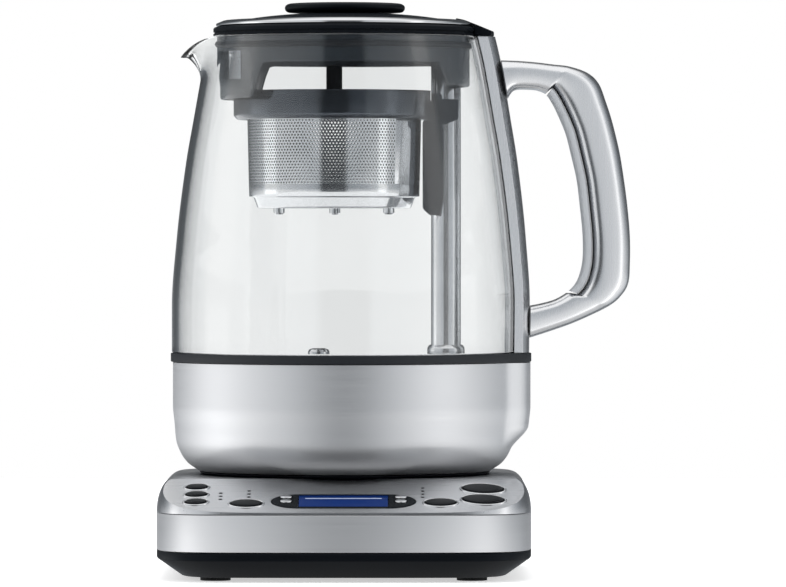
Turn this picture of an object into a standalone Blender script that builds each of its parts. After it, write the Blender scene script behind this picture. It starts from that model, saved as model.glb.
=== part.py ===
"""An automatic tea maker: a glass jug on a powered base, with a basket that a screw drive lifts.

Every length is in metres. The model stands on its feet, +Z up. The pieces are made about the
jug's axis and hang from one empty, which puts the middle of the whole object over the origin.
Right, +X, is the handle side. The front, -Y, has the controls.
"""

import math

import bmesh
import bpy
from mathutils import Vector

# Fits
GAP = 0.0003
SLIDE_GAP = 0.0005
OVERRUN = 0.004
SMOOTH_ANGLE = math.radians(38)

# Facets
ROUND_SEGMENTS = 28
SMALL_SEGMENTS = 14
TINY_SEGMENTS = 6
FINE_STEPS = 6

# Base housing
BASE_HALF_WIDTH = 0.0865
BASE_FRONT = 0.108
BASE_REAR = 0.088
BASE_POWER = 6.5
FOOT_HEIGHT = 0.0015
FOOT_RADIUS = 0.007
FOOT_SPREAD_SHARE = 0.68
TUB_HEIGHT = 0.0119
TUB_CHAMFER_HEIGHT = 0.0084
TUB_CHAMFER_INSET = 0.0115
TUB_WALL = 0.0025
TUB_LIP_HEIGHT = 0.0033
BAND_HEIGHT = 0.017
BAND_WALL = 0.0013
PANEL_HEIGHT = 0.0148
PANEL_WALL = 0.0022
PANEL_SLOPE = math.radians(18.3)
PANEL_FRONT_LIP = 0.0009
PANEL_INSET = 0.0075
PANEL_EDGE_SHARES = ((0.0, 0.0), (0.14, 0.46), (0.46, 0.86), (1.0, 1.0))

# Seat for the jug, and the round connector in it
SEAT_CLEARANCE = 0.0036
DISH_RIM = 0.0035
DISH_DEPTH = 0.0028
DISH_WALL = 0.002
DISH_CLEARANCE = 0.0016
TOWER_RADIUS = 0.0105
TOWER_TIP_RADIUS = 0.0065
TOWER_HEIGHT = 0.012
TOWER_TIP_HEIGHT = 0.005
TOWER_FLANGE = 0.0025
SOCKET_CLEARANCE = 0.003
SOCKET_ROOM = 0.0018
SOCKET_WALL = 0.0025

# Control board and cord inlet
BOARD_HALF_WIDTH = 0.062
BOARD_DEPTH = 0.044
BOARD_THICKNESS = 0.0016
BOARD_FRONT_SETBACK = 0.024
BOSS_RADIUS = 0.003
BOSS_HEIGHT = 0.005
INLET_RADIUS = 0.0036
INLET_BORE = 0.0024
INLET_LENGTH = 0.010
INLET_RISE = 0.0062
INLET_SETBACK = 0.0015

# Display
BEZEL_FLAT_SHARE = 0.2428
BEZEL_END_SHARE = 0.1387
BEZEL_HALF_HEIGHT = 0.0089
BEZEL_V = 0.0147
BEZEL_PROUD = 0.0003
BEZEL_FLANGE = 0.0016
BEZEL_FLANGE_THICKNESS = 0.0012
LENS_SHARE = 0.2347
LENS_HALF_HEIGHT = 0.0071
LENS_THICKNESS = 0.0016
LCD_MARGIN = 0.0015
LCD_THICKNESS = 0.0045

# Buttons: half length and half height of each cap
CAP_PROUD = 0.0011
CAP_CROWN_SHARE = 0.86
CAP_EDGE_SHARE = 0.5
KEY_FLANGE = 0.0009
KEY_FLANGE_THICKNESS = 0.001
SMALL_BUTTON = (0.0050, 0.0033)
TYPE_BUTTON = (0.0072, 0.0045)
START_BUTTON = (0.0096, 0.0058)
DISPLAY_KEY = (0.0027, 0.0019)
LEFT_COLUMN_SHARE = -0.778
TYPE_BUTTON_SHARE = -0.5121
STRENGTH_BUTTON_SHARE = 0.5121
START_COLUMN_SHARE = 0.7376
DISPLAY_KEY_SHARE = 0.3029
SMALL_BUTTON_ROWS = (0.0135, 0.0232, 0.0328)
TYPE_BUTTON_V = 0.0114
STRENGTH_BUTTON_V = 0.0127
START_BUTTON_ROWS = (0.0166, 0.0306)
DISPLAY_KEY_ROWS = (0.0137, 0.0193)
LEFT_BUTTON_TURN = math.radians(9)
RIGHT_BUTTON_TURN = math.radians(-9)

# Indicator lights
LIGHT_RADIUS = 0.0006
LIGHT_HOLE_RADIUS = 0.001
LIGHT_PITCH = 0.004
LEFT_LIGHT_SHARES = ((-0.6497, 0.0175, 3), (-0.5006, 0.0204, 3))
RIGHT_LIGHT_SHARES = ((0.4185, 0.0202, 4),)
LIGHT_BAR_MARGIN = 0.0018
LIGHT_BAR_THICKNESS = 0.0018

# Jug: foot, steel bowl and seal
FOOT_CAP_HEIGHT = 0.0064
FOOT_CAP_WAIST_INSET = 0.0042
FOOT_CAP_BOTTOM_INSET = 0.0064
FOOT_CAP_WAIST_SHARE = 0.52
FOOT_CAP_WALL = 0.0022
BOWL_HEIGHT = 0.0508
BOWL_SETBACK = 0.0005
BOWL_WALL = 0.0012
BOWL_SHARES = (
    (0.0, 0.849),
    (0.075, 0.915),
    (0.16, 0.953),
    (0.28, 0.981),
    (0.45, 0.991),
    (0.60, 1.0),
    (1.0, 1.0),
)
BOWL_BUMP = 0.0064
BOWL_BUMP_START_SHARE = 0.2
BOWL_BUMP_FULL_SHARE = 0.42
SEAL_HEIGHT = 0.0041
SEAL_PROUD = 0.0005
SEAL_BUMP = 0.0058
SEAL_LEDGE = 0.0021
SEAL_LEDGE_WIDTH = 0.0045
BUMP_FLAT = math.radians(13)
BUMP_SPAN = math.radians(22)

# Heater, sensor and drive in the jug's foot
PLATE_THICKNESS = 0.0022
ELEMENT_RING_RADIUS = 0.045
ELEMENT_TUBE_RADIUS = 0.0034
ELEMENT_OPENING = math.radians(46)
SENSOR_RADIUS = 0.005
SENSOR_RISE = 0.002
SENSOR_TIP_SHARE = 0.7
SENSOR_DEPTH = 0.008
SENSOR_X = -0.012
SENSOR_Y = -0.024
CARRIER_THICKNESS = 0.002
CARRIER_DROP = 0.0115
CARRIER_HALF_WIDTH = 0.0125
CARRIER_POST_RADIUS = 0.0022
MOTOR_RADIUS = 0.0115
MOTOR_HEIGHT = 0.028
SHAFT_RADIUS = 0.0012
SHAFT_DEPTH = 0.0035
GEAR_MODULE = 0.0009
SCREW_TEETH = 20
PINION_TEETH = 10
GEAR_HEIGHT = 0.004
GEAR_DROP = 0.0088
# Tooth height and half thickness, as shares of the module and of the pitch
ADDENDUM_SHARE = 0.9
DEDENDUM_SHARE = 1.1
ROOT_SHARE = 0.25
TIP_SHARE = 0.11

# Glass
GLASS_HEIGHT = 0.148
GLASS_RADIUS = 0.0813
GLASS_WALL = 0.003
GLASS_SHARES = (
    (0.0, 1.0),
    (0.145, 1.0),
    (0.36, 0.972),
    (0.60, 0.918),
    (0.736, 0.875),
    (0.905, 0.819),
    (0.95, 0.801),
    (1.0, 0.778),
)
SPOUT_REACH = 0.0156
SPOUT_DROP = 0.0103
SPOUT_LIP_RISE = 0.0017
SPOUT_HALF_SPAN = math.radians(27)
SPOUT_POINT_POWER = 1.35
SPOUT_SHARES = {0.905: (0.15, 0.19), 0.95: (0.52, 0.51), 1.0: (1.0, 1.0)}

# Post with the screw and the driven magnet
POST_X = 0.0475
POST_RADIUS = 0.007
POST_WALL = 0.0008
POST_DROP = 0.0066
POST_DOME = 0.003
POST_TOP_SHARE = 0.75
POST_FOOT_RADIUS = 0.0088
POST_FOOT_HEIGHT = 0.003
POST_TAIL = 0.004
SCREW_RADIUS = 0.0029
SCREW_ROOT_SHARE = 0.70
SHANK_SHARE = 0.65
SCREW_LEAD = 0.024
SCREW_STARTS = 2
SCREW_STEP = math.radians(15)
SCREW_TOP_ROOM = 0.006
THREAD_GAP = 0.0007
NUT_HEIGHT = 0.020

# Column and handle
COLUMN_FOOT_DEPTH = 0.0052
COLUMN_HEAD_DEPTH = 0.0073
COLUMN_FOOT_HALF_WIDTH = 0.0195
COLUMN_HEAD_HALF_WIDTH = 0.013
COLUMN_EDGE_SHARE = 0.45
HANDLE_RISE = 0.0068
HANDLE_HEIGHT = 0.1302
HANDLE_DEPTH = 0.0485
HANDLE_WIDTH = 0.0250
HANDLE_SECTION_POWER = 3.6
HANDLE_SECTION_POINTS = 12
LINER_DEPTH = 0.0042
LINER_FIRST = 4
LINER_LAST = 16
LINER_STEP_SHARE = 0.08
# Each station: outer reach and height, inner reach and height, as shares of the depth and height.
HANDLE_SHARES = (
    (0.0, 1.0, 0.0, 0.863),
    (0.152, 0.998, 0.08, 0.892),
    (0.325, 0.993, 0.236, 0.894),
    (0.498, 0.985, 0.316, 0.889),
    (0.646, 0.978, 0.382, 0.875),
    (0.811, 0.955, 0.424, 0.844),
    (0.903, 0.916, 0.458, 0.807),
    (0.943, 0.85, 0.489, 0.764),
    (0.973, 0.779, 0.509, 0.726),
    (0.994, 0.677, 0.527, 0.651),
    (1.003, 0.569, 0.548, 0.569),
    (1.006, 0.461, 0.549, 0.472),
    (1.001, 0.353, 0.549, 0.368),
    (0.981, 0.266, 0.533, 0.291),
    (0.955, 0.2, 0.501, 0.241),
    (0.891, 0.157, 0.452, 0.2),
    (0.759, 0.114, 0.373, 0.168),
    (0.46, 0.06, 0.245, 0.139),
    (0.23, 0.028, 0.109, 0.124),
    (0.0, 0.0, 0.0, 0.116),
)

# Basket
BASKET_X = -0.005
BASKET_DROP = 0.075
MESH_RADIUS = 0.041
MESH_FOOT_RADIUS = 0.040
MESH_WALL = 0.0006
MESH_BAND = 0.0056
MESH_HOLES_HEIGHT = 0.0304
MESH_TOP_BAND = 0.0066
MESH_COLUMNS = 16
MESH_ROWS = 2
MESH_WEB = 0.0016
COLLAR_RADIUS = 0.0473
COLLAR_HEIGHT = 0.0134
COLLAR_CHAMFER = 0.0018
COLLAR_LEDGE_SHARE = 0.5
COLLAR_LIP = 0.0016
PAN_DEPTH = 0.0052
PAN_RADIUS = 0.038
PAN_FOOT_RADIUS = 0.036
PAN_WALL = 0.0012
PAN_LIP_HEIGHT = 0.0032
PAN_LUG_HEIGHT = 0.003
PAN_LUG_RADIUS = 0.0026
PAN_LUG_RING_SHARE = 0.82
PAN_LUGS = 3
BASKET_LID_THICKNESS = 0.0024
BASKET_LID_DISH = 0.0012
BASKET_KNOB_RADIUS = 0.00375
BASKET_KNOB_HEIGHT = 0.017
BASKET_KNOB_WAIST_SHARE = 0.72
BASKET_KNOB_SHARES = (0, 0.12, 0.2, 0.62, 0.75, 1)
LID_RIM_SHARE = 0.93
LID_DISH_SHARE = 0.88
BRACKET_WALL = 0.0026
BRACKET_REACH = 0.0052
BRACKET_TAB_REACH = 0.013
BRACKET_TAB_HEIGHT = 0.0095
BRACKET_DROP = 0.0446
BRACKET_TIP_SHARE = 0.14
MAGNET_THICKNESS = 0.0014
MAGNET_HALF_WIDTH = 0.0047
MAGNET_HEIGHT = 0.0235
MAGNET_DROP = 0.005

# Lid
LID_RADIUS = 0.0618
LID_RIM_HEIGHT = 0.0038
LID_RISE = 0.0109
LID_BORE = 0.008
LID_WALL = 0.0026
LID_SHOULDER_SHARE = 0.913
LID_SHOULDER_RISE = 0.0022
DOME_SHARES = (0.5, 0.8)
KNOB_RADIUS = 0.0282
KNOB_HEIGHT = 0.0042
KNOB_EDGE = 0.0012
KNOB_STEM = 0.003
TRIM_WIDTH = 0.0038
TRIM_THICKNESS = 0.0011
TAB_HALF_SPAN = math.radians(12.5)
TAB_OVERLAP = 0.0085
TAB_THICKNESS = 0.0016
TAB_NOSE = 0.0021
SKIRT_RADIUS = 0.0586
SKIRT_WALL = 0.0018
SKIRT_SHALLOW = 0.0129
SKIRT_DEEP = 0.0295
SKIRT_RIGHT = 0.0235
SKIRT_DEEP_SPAN = math.radians(42)
SKIRT_RIGHT_SPAN = math.radians(34)
SKIRT_EDGE_SPAN = math.radians(9)
WINDOW_TOP = 0.0075
WINDOW_HEIGHT = 0.013
WINDOW_FIRST = math.radians(13)
WINDOW_LAST = math.radians(36)
STRAINER_WALL = 0.0006
STRAINER_MARGIN = 0.0015
STRAINER_COLUMNS = 6
STRAINER_ROWS = 2
STRAINER_WEB = 0.0014
LINER_THICKNESS = 0.002
LID_SEAL_WIDTH = 0.001
LID_SEAL_HEIGHT = 0.003
LID_SEAL_DROP = 0.0035

# Finishes: colour, roughness, metallic
BRUSHED_STEEL = ((0.60, 0.61, 0.63, 1.0), 0.32, 1.0)
POLISHED_STEEL = ((0.72, 0.73, 0.75, 1.0), 0.12, 1.0)
BLACK_PLASTIC = ((0.016, 0.018, 0.022, 1.0), 0.35, 0.0)
SLATE_PLASTIC = ((0.075, 0.088, 0.105, 1.0), 0.22, 0.0)
PALE_PLASTIC = ((0.55, 0.57, 0.60, 1.0), 0.4, 0.0)
CLEAR_GLASS = ((0.93, 0.96, 0.97, 0.25), 0.02, 0.0)
BLUE_DISPLAY = ((0.014, 0.045, 0.205, 1.0), 0.12, 0.0)
SILICONE = ((0.05, 0.052, 0.055, 1.0), 0.6, 0.0)
RUBBER = ((0.012, 0.012, 0.013, 1.0), 0.85, 0.0)
BRASS = ((0.62, 0.45, 0.17, 1.0), 0.3, 1.0)
CIRCUIT_BOARD = ((0.02, 0.16, 0.06, 1.0), 0.5, 0.0)
NYLON = ((0.78, 0.77, 0.72, 1.0), 0.45, 0.0)
MAGNET = ((0.30, 0.30, 0.31, 1.0), 0.35, 1.0)

# Radii that follow the glass
BOWL_RADIUS = GLASS_RADIUS - BOWL_SETBACK
SEAL_RADIUS = GLASS_RADIUS + SEAL_PROUD
FOOT_CAP_RADIUS = BOWL_RADIUS * BOWL_SHARES[0][1]
FOOT_CAP_WAIST_RADIUS = FOOT_CAP_RADIUS - FOOT_CAP_WAIST_INSET
FOOT_CAP_BOTTOM_RADIUS = FOOT_CAP_RADIUS - FOOT_CAP_BOTTOM_INSET
SEAT_RADIUS = FOOT_CAP_WAIST_RADIUS + SEAT_CLEARANCE

# Heights above the surface, from the sizes above
TUB_BOTTOM = FOOT_HEIGHT + GAP
TUB_TOP = TUB_BOTTOM + TUB_HEIGHT
BAND_BOTTOM = TUB_TOP + GAP
BAND_TOP = BAND_BOTTOM + BAND_HEIGHT
PANEL_RIM = BAND_TOP + GAP
PANEL_TOP = PANEL_RIM + PANEL_HEIGHT
DISH_RIM_TOP = PANEL_TOP - PANEL_WALL - GAP
DISH_FLOOR = DISH_RIM_TOP - DISH_DEPTH
JUG_BOTTOM = DISH_FLOOR + GAP
FOOT_CAP_TOP = JUG_BOTTOM + FOOT_CAP_HEIGHT
BOWL_BOTTOM = FOOT_CAP_TOP + GAP
BOWL_TOP = BOWL_BOTTOM + BOWL_HEIGHT
SEAL_BOTTOM = BOWL_TOP + GAP
SEAL_TOP = SEAL_BOTTOM + SEAL_HEIGHT
GLASS_BOTTOM = SEAL_TOP + GAP
GLASS_TOP = GLASS_BOTTOM + GLASS_HEIGHT
PLATE_BOTTOM = SEAL_BOTTOM + SEAL_LEDGE + GAP
PLATE_TOP = PLATE_BOTTOM + PLATE_THICKNESS
POST_TOP = GLASS_TOP - POST_DROP
MESH_BOTTOM = GLASS_TOP - BASKET_DROP
PAN_BOTTOM = MESH_BOTTOM - GAP - PAN_DEPTH
MESH_TOP = MESH_BOTTOM + MESH_BAND + MESH_HOLES_HEIGHT + MESH_TOP_BAND
COLLAR_BOTTOM = MESH_BOTTOM + MESH_BAND + MESH_HOLES_HEIGHT
COLLAR_TOP = COLLAR_BOTTOM + COLLAR_HEIGHT
LID_BOTTOM = GLASS_TOP + GAP
LID_TOP = LID_BOTTOM + LID_RISE


def clear_scene():
    """Removes whatever the file holds, so that only the tea maker is left."""
    for old in list(bpy.data.objects):
        bpy.data.objects.remove(old, do_unlink=True)


def coat(name, finish):
    """One Principled material for one piece."""
    colour, roughness, metallic = finish
    coated = bpy.data.materials.new(name)
    coated.use_nodes = True
    shader = coated.node_tree.nodes["Principled BSDF"]
    shader.inputs["Base Color"].default_value = colour
    shader.inputs["Roughness"].default_value = roughness
    shader.inputs["Metallic"].default_value = metallic
    shader.inputs["Alpha"].default_value = colour[3]
    return coated


def put(name, shape, parent):
    """Turns a bmesh into an object under a parent."""
    mesh = bpy.data.meshes.new(name)
    shape.to_mesh(mesh)
    shape.free()
    placed = bpy.data.objects.new(name, mesh)
    bpy.context.scene.collection.objects.link(placed)
    placed.parent = parent
    return placed


def piece(name, shape, finish, parent, location=(0, 0, 0), turn=0):
    """A named sub-part with its own material, smooth where its faces nearly meet flat."""
    made = put(name, shape, parent)
    made.data.shade_smooth()
    made.data.set_sharp_from_angle(angle=SMOOTH_ANGLE)
    made.data.materials.append(coat(name, finish))
    made.location = location
    made.rotation_euler[2] = turn
    return made


def combine(name, target, shape, parent, operation):
    """Adds or cuts away a helper solid, which stays out of the render."""
    tool = put(name, shape, parent)
    tool.hide_render = True
    tool.display_type = "WIRE"
    change = target.modifiers.new(name, "BOOLEAN")
    change.operation = operation
    change.solver = "EXACT"
    change.object = tool


def cut(target, shape, parent):
    combine(target.name + "_cutter", target, shape, parent, "DIFFERENCE")


def weld(target, shape, parent):
    combine(target.name + "_addition", target, shape, parent, "UNION")


def grouped(shapes):
    """One bmesh that holds several separate solids, for a cut with many holes."""
    whole = bmesh.new()
    for shape in shapes:
        mesh = bpy.data.meshes.new("temporary")
        shape.to_mesh(mesh)
        shape.free()
        whole.from_mesh(mesh)
        bpy.data.meshes.remove(mesh)
    return whole


def loft(rings, closed=False):
    """A solid through rings of points. Closed joins the last ring to the first."""
    shape = bmesh.new()
    loops = [[shape.verts.new(point) for point in ring] for ring in rings]
    pairs = list(zip(loops, loops[1:]))
    if closed:
        pairs.append((loops[-1], loops[0]))
    else:
        shape.faces.new(reversed(loops[0]))
        shape.faces.new(loops[-1])
    for low, high in pairs:
        for index, point in enumerate(low):
            after = (index + 1) % len(low)
            shape.faces.new((point, low[after], high[after], high[index]))
    bmesh.ops.recalc_face_normals(shape, faces=shape.faces)
    return shape


def circle(radius, segments, centre=(0, 0), start=0):
    return [
        (
            centre[0] + radius * math.cos(start + math.tau * index / segments),
            centre[1] + radius * math.sin(start + math.tau * index / segments),
        )
        for index in range(segments)
    ]


def superellipse(half_length, half_height, power, count):
    """Points round a rounded rectangle, from +X, anticlockwise."""
    points = []
    for index in range(count):
        angle = math.tau * index / count
        across = math.cos(angle)
        up = math.sin(angle)
        points.append(
            (
                math.copysign(half_length * abs(across) ** (2 / power), across),
                math.copysign(half_height * abs(up) ** (2 / power), up),
            )
        )
    return points


def level(outline, height, shift=(0, 0)):
    return [(x + shift[0], y + shift[1], height) for x, y in outline]


def prism(outline, low, high, shift=(0, 0)):
    return loft([level(outline, low, shift), level(outline, high, shift)])


def turned(profile, segments=ROUND_SEGMENTS, centre=(0, 0), closed=True):
    """A solid of revolution about a vertical axis, from (radius, height) points."""
    return loft([level(circle(radius, segments, centre), height) for radius, height in profile], closed)


def block(low, high):
    """A box between two corners."""
    outline = ((low[0], low[1]), (high[0], low[1]), (high[0], high[1]), (low[0], high[1]))
    return prism(outline, low[2], high[2])


def side_prism(outline, half_width):
    """An outline of (x, z) points, extruded to both sides of Y = 0."""
    return loft([[(x, y, z) for x, z in outline] for y in (-half_width, half_width)])


def blend(first, second, share):
    return first + (second - first) * share


def smooth_step(share):
    share = min(max(share, 0), 1)
    return share * share * (3 - 2 * share)


def table_value(table, share):
    """Reads a table of (share, value) pairs, straight between its points."""
    for (low, low_value), (high, high_value) in zip(table, table[1:]):
        if share <= high:
            return blend(low_value, high_value, max(share - low, 0) / (high - low))
    return table[-1][1]


def focused_angles(centre, half_span, fine_steps=FINE_STEPS):
    """Angles round a circle, closer together within half_span of a centre."""
    angles = [centre + half_span * (2 * index / fine_steps - 1) for index in range(fine_steps)]
    rest = math.tau - 2 * half_span
    steps = round(ROUND_SEGMENTS * rest / math.tau)
    angles += [centre + half_span + rest * index / steps for index in range(steps)]
    return angles


def polar(radius, angle, height):
    return (radius * math.cos(angle), radius * math.sin(angle), height)


def flats(radius, segments=ROUND_SEGMENTS):
    """The distance from the middle to the flats of a faceted circle."""
    return radius * math.cos(math.pi / segments)


def angle_from(angle, centre):
    """How far an angle lies from a centre, without sign."""
    return abs((angle - centre + math.pi) % math.tau - math.pi)


def base_outline(inset):
    """The base's plan, drawn in by an inset all round."""
    half_depth = (BASE_FRONT + BASE_REAR) / 2
    outline = superellipse(BASE_HALF_WIDTH - inset, half_depth - inset, BASE_POWER, ROUND_SEGMENTS)
    return [(x, y + (BASE_REAR - BASE_FRONT) / 2) for x, y in outline]


def base_loft(levels, closed=False):
    """A solid through (inset, height) levels of the base's plan."""
    return loft([level(base_outline(inset), height) for inset, height in levels], closed)


def make_feet(parent):
    """Four rubber discs near the corners of the base."""
    half_depth = (BASE_FRONT + BASE_REAR) / 2
    middle = (BASE_REAR - BASE_FRONT) / 2
    for name, side, end in (
        ("foot_front_left", -1, -1),
        ("foot_front_right", 1, -1),
        ("foot_rear_left", -1, 1),
        ("foot_rear_right", 1, 1),
    ):
        place = (
            side * BASE_HALF_WIDTH * FOOT_SPREAD_SHARE,
            middle + end * half_depth * FOOT_SPREAD_SHARE,
        )
        disc = prism(circle(FOOT_RADIUS, SMALL_SEGMENTS), 0, FOOT_HEIGHT)
        piece(name, disc, RUBBER, parent, (*place, 0))


def boss_places():
    front = -BASE_FRONT + BOARD_FRONT_SETBACK
    margin = 2 * BOSS_RADIUS
    return [
        (side * (BOARD_HALF_WIDTH - margin), y)
        for side in (-1, 1)
        for y in (front + margin, front + BOARD_DEPTH - margin)
    ]


def make_tub(parent):
    """The black lower housing: an open tray with a chamfered skirt and a lip for the steel band."""
    chamfer_top = TUB_BOTTOM + TUB_CHAMFER_HEIGHT
    floor = TUB_BOTTOM + TUB_WALL
    lip_outside = BAND_WALL + GAP
    lip_inside = lip_outside + TUB_WALL
    tub = piece(
        "base_tub",
        base_loft(
            (
                (TUB_CHAMFER_INSET, TUB_BOTTOM),
                (0, chamfer_top),
                (0, TUB_TOP),
                (lip_outside, TUB_TOP),
                (lip_outside, TUB_TOP + TUB_LIP_HEIGHT),
                (lip_inside, TUB_TOP + TUB_LIP_HEIGHT),
                (lip_inside, chamfer_top + TUB_WALL),
                (TUB_CHAMFER_INSET + lip_inside, floor),
            )
        ),
        BLACK_PLASTIC,
        parent,
    )
    bosses = [
        prism(circle(BOSS_RADIUS, TINY_SEGMENTS), floor - TUB_WALL / 2, floor + BOSS_HEIGHT, place)
        for place in boss_places()
    ]
    weld(tub, grouped(bosses), parent)
    cut(tub, inlet_cylinder(INLET_RADIUS + GAP, OVERRUN), parent)


def inlet_cylinder(radius, extra):
    """A cylinder along Y through the rear of the tub, longer by extra at both ends."""
    height = TUB_BOTTOM + INLET_RISE
    rear = BASE_REAR - INLET_SETBACK
    ends = (rear - INLET_LENGTH - extra, rear + extra)
    return loft([[(x, y, z + height) for x, z in circle(radius, SMALL_SEGMENTS)] for y in ends])


def make_inlet(parent):
    """The bushing in the tub's rear wall that a mains lead enters by."""
    inlet = piece("cord_inlet", inlet_cylinder(INLET_RADIUS, 0), RUBBER, parent)
    cut(inlet, inlet_cylinder(INLET_BORE, OVERRUN), parent)


def make_band(parent):
    """The brushed steel wall of the base."""
    levels = ((0, BAND_BOTTOM), (0, BAND_TOP), (BAND_WALL, BAND_TOP), (BAND_WALL, BAND_BOTTOM))
    piece("base_steel_band", base_loft(levels, closed=True), BRUSHED_STEEL, parent)


def panel_block(wall, drop):
    """The panel's outer solid, or the space inside it when it is drawn in by a wall."""
    levels = [(wall, PANEL_RIM - drop)]
    for inset_share, height_share in PANEL_EDGE_SHARES:
        height = PANEL_RIM + PANEL_HEIGHT * height_share - wall
        if height > PANEL_RIM - drop:
            levels.append((wall + PANEL_INSET * inset_share, height))
    return trimmed(base_loft(levels), wall)


def trimmed(shape, depth):
    """Cuts a shape away above a plane that lies a depth below the sloping panel's face."""
    normal = Vector((0, -math.sin(PANEL_SLOPE), math.cos(PANEL_SLOPE)))
    bmesh.ops.bisect_plane(
        shape,
        geom=shape.verts[:] + shape.edges[:] + shape.faces[:],
        plane_co=slope_origin() - normal * depth,
        plane_no=normal,
        clear_outer=True,
    )
    rims = [edge for edge in shape.edges if edge.is_boundary]
    bmesh.ops.holes_fill(shape, edges=rims)
    bmesh.ops.recalc_face_normals(shape, faces=shape.faces)
    return shape


def slope_origin():
    """The middle of the sloping panel's front edge."""
    return Vector((0, -BASE_FRONT, PANEL_RIM + PANEL_FRONT_LIP))


def panel_u(share):
    """A place on the panel, as a share of the base's half width."""
    return share * BASE_HALF_WIDTH


def turned_outline(outline, turn, shift):
    """An outline turned about its middle and then shifted."""
    cosine = math.cos(turn)
    sine = math.sin(turn)
    return [(shift[0] + x * cosine - y * sine, shift[1] + x * sine + y * cosine) for x, y in outline]


def button_table():
    """Every button: name, size, place on the slope, turn and whether it sits in the bezel."""
    rows = [
        (name, SMALL_BUTTON, (panel_u(LEFT_COLUMN_SHARE), v), LEFT_BUTTON_TURN, False)
        for name, v in zip(("keep_warm_button", "clock_button", "auto_start_button"), SMALL_BUTTON_ROWS)
    ]
    rows.append(("tea_type_button", TYPE_BUTTON, (panel_u(TYPE_BUTTON_SHARE), TYPE_BUTTON_V), 0, False))
    rows.append(("strength_button", TYPE_BUTTON, (panel_u(STRENGTH_BUTTON_SHARE), STRENGTH_BUTTON_V), 0, False))
    rows += [
        (name, START_BUTTON, (panel_u(START_COLUMN_SHARE), v), RIGHT_BUTTON_TURN, False)
        for name, v in zip(("tea_start_button", "water_start_button"), START_BUTTON_ROWS)
    ]
    for side_name, side in (("left", -1), ("right", 1)):
        for row_name, v in zip(("down", "up"), DISPLAY_KEY_ROWS):
            name = f"display_key_{side_name}_{row_name}"
            rows.append((name, DISPLAY_KEY, (side * panel_u(DISPLAY_KEY_SHARE), v), 0, True))
    return rows


def button_outline(size, margin, in_bezel):
    count = TINY_SEGMENTS if in_bezel else SMALL_SEGMENTS
    return superellipse(size[0] + margin, size[1] + margin, 2, count)


def make_buttons(parent):
    """Crowned caps that pass through the panel, each kept in by a flange behind it."""
    for name, size, place, turn, in_bezel in button_table():
        behind = -(bezel_depth() if in_bezel else PANEL_WALL) - GAP
        rings = (
            (KEY_FLANGE, behind - KEY_FLANGE_THICKNESS),
            (KEY_FLANGE, behind),
            (0, behind),
            (0, CAP_PROUD * CAP_EDGE_SHARE),
        )
        levels = [level(button_outline(size, margin, in_bezel), height) for margin, height in rings]
        crown = [(x * CAP_CROWN_SHARE, y * CAP_CROWN_SHARE) for x, y in button_outline(size, 0, in_bezel)]
        levels.append(level(crown, CAP_PROUD))
        finish = POLISHED_STEEL if in_bezel else BLACK_PLASTIC
        piece(name, loft(levels), finish, parent, (*place, 0), turn)


def button_holes(in_bezel, low, high):
    """Cutters for the holes that the buttons pass through."""
    return [
        prism(turned_outline(button_outline(size, GAP, bezel_key), turn, place), low, high)
        for _, size, place, turn, bezel_key in button_table()
        if bezel_key == in_bezel
    ]


def bezel_outline(margin):
    """A bar with half-ellipse ends."""
    points = []
    steps = SMALL_SEGMENTS // 2
    for side in (1, -1):
        for index in range(steps + 1):
            angle = math.pi * (index / steps - 0.5)
            x = panel_u(BEZEL_FLAT_SHARE) + (panel_u(BEZEL_END_SHARE) + margin) * math.cos(angle)
            y = (BEZEL_HALF_HEIGHT + margin) * math.sin(angle)
            points.append((side * x, side * y + BEZEL_V))
    return points


def bezel_depth():
    """From the panel's face to the back of the bezel's flange."""
    return PANEL_WALL + GAP + BEZEL_FLANGE_THICKNESS


def lens_outline(margin):
    length = panel_u(LENS_SHARE) + margin
    height = LENS_HALF_HEIGHT + margin
    return [(x, y + BEZEL_V) for x, y in ((-length, -height), (length, -height), (length, height), (-length, height))]


def make_display(parent):
    """The dark surround, the blue window in it and the display module behind."""
    flange_front = -PANEL_WALL - GAP
    rings = (
        (BEZEL_FLANGE, -bezel_depth()),
        (BEZEL_FLANGE, flange_front),
        (0, flange_front),
        (0, BEZEL_PROUD),
    )
    bezel = piece(
        "display_bezel",
        loft([level(bezel_outline(margin), height) for margin, height in rings]),
        SLATE_PLASTIC,
        parent,
    )
    holes = button_holes(True, -bezel_depth() - OVERRUN, BEZEL_PROUD + OVERRUN)
    holes.append(prism(lens_outline(GAP), -bezel_depth() - OVERRUN, BEZEL_PROUD + OVERRUN))
    cut(bezel, grouped(holes), parent)
    window = prism(lens_outline(0), BEZEL_PROUD - LENS_THICKNESS, BEZEL_PROUD)
    piece("display_window", window, BLUE_DISPLAY, parent)
    module = loft(
        (
            level(lens_outline(LCD_MARGIN), -bezel_depth() - GAP - LCD_THICKNESS),
            level(lens_outline(LCD_MARGIN), -bezel_depth() - GAP),
            level(lens_outline(-LCD_MARGIN), -bezel_depth() - GAP),
            level(lens_outline(-LCD_MARGIN), BEZEL_PROUD - LENS_THICKNESS - GAP),
        )
    )
    piece("display_module", module, PALE_PLASTIC, parent)


def light_places(columns):
    return [(panel_u(share), v + LIGHT_PITCH * row) for share, v, rows in columns for row in range(rows)]


def bar_outline(columns):
    """Four corners round one or two columns of lights."""
    corners = []
    for (share, v, rows), side in ((columns[0], -1), (columns[-1], 1)):
        ends = (v - LIGHT_BAR_MARGIN, v + LIGHT_PITCH * (rows - 1) + LIGHT_BAR_MARGIN)
        corners.append([(panel_u(share) + side * LIGHT_BAR_MARGIN, end) for end in ends])
    left, right = corners
    return [left[0], right[0], right[1], left[1]]


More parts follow.
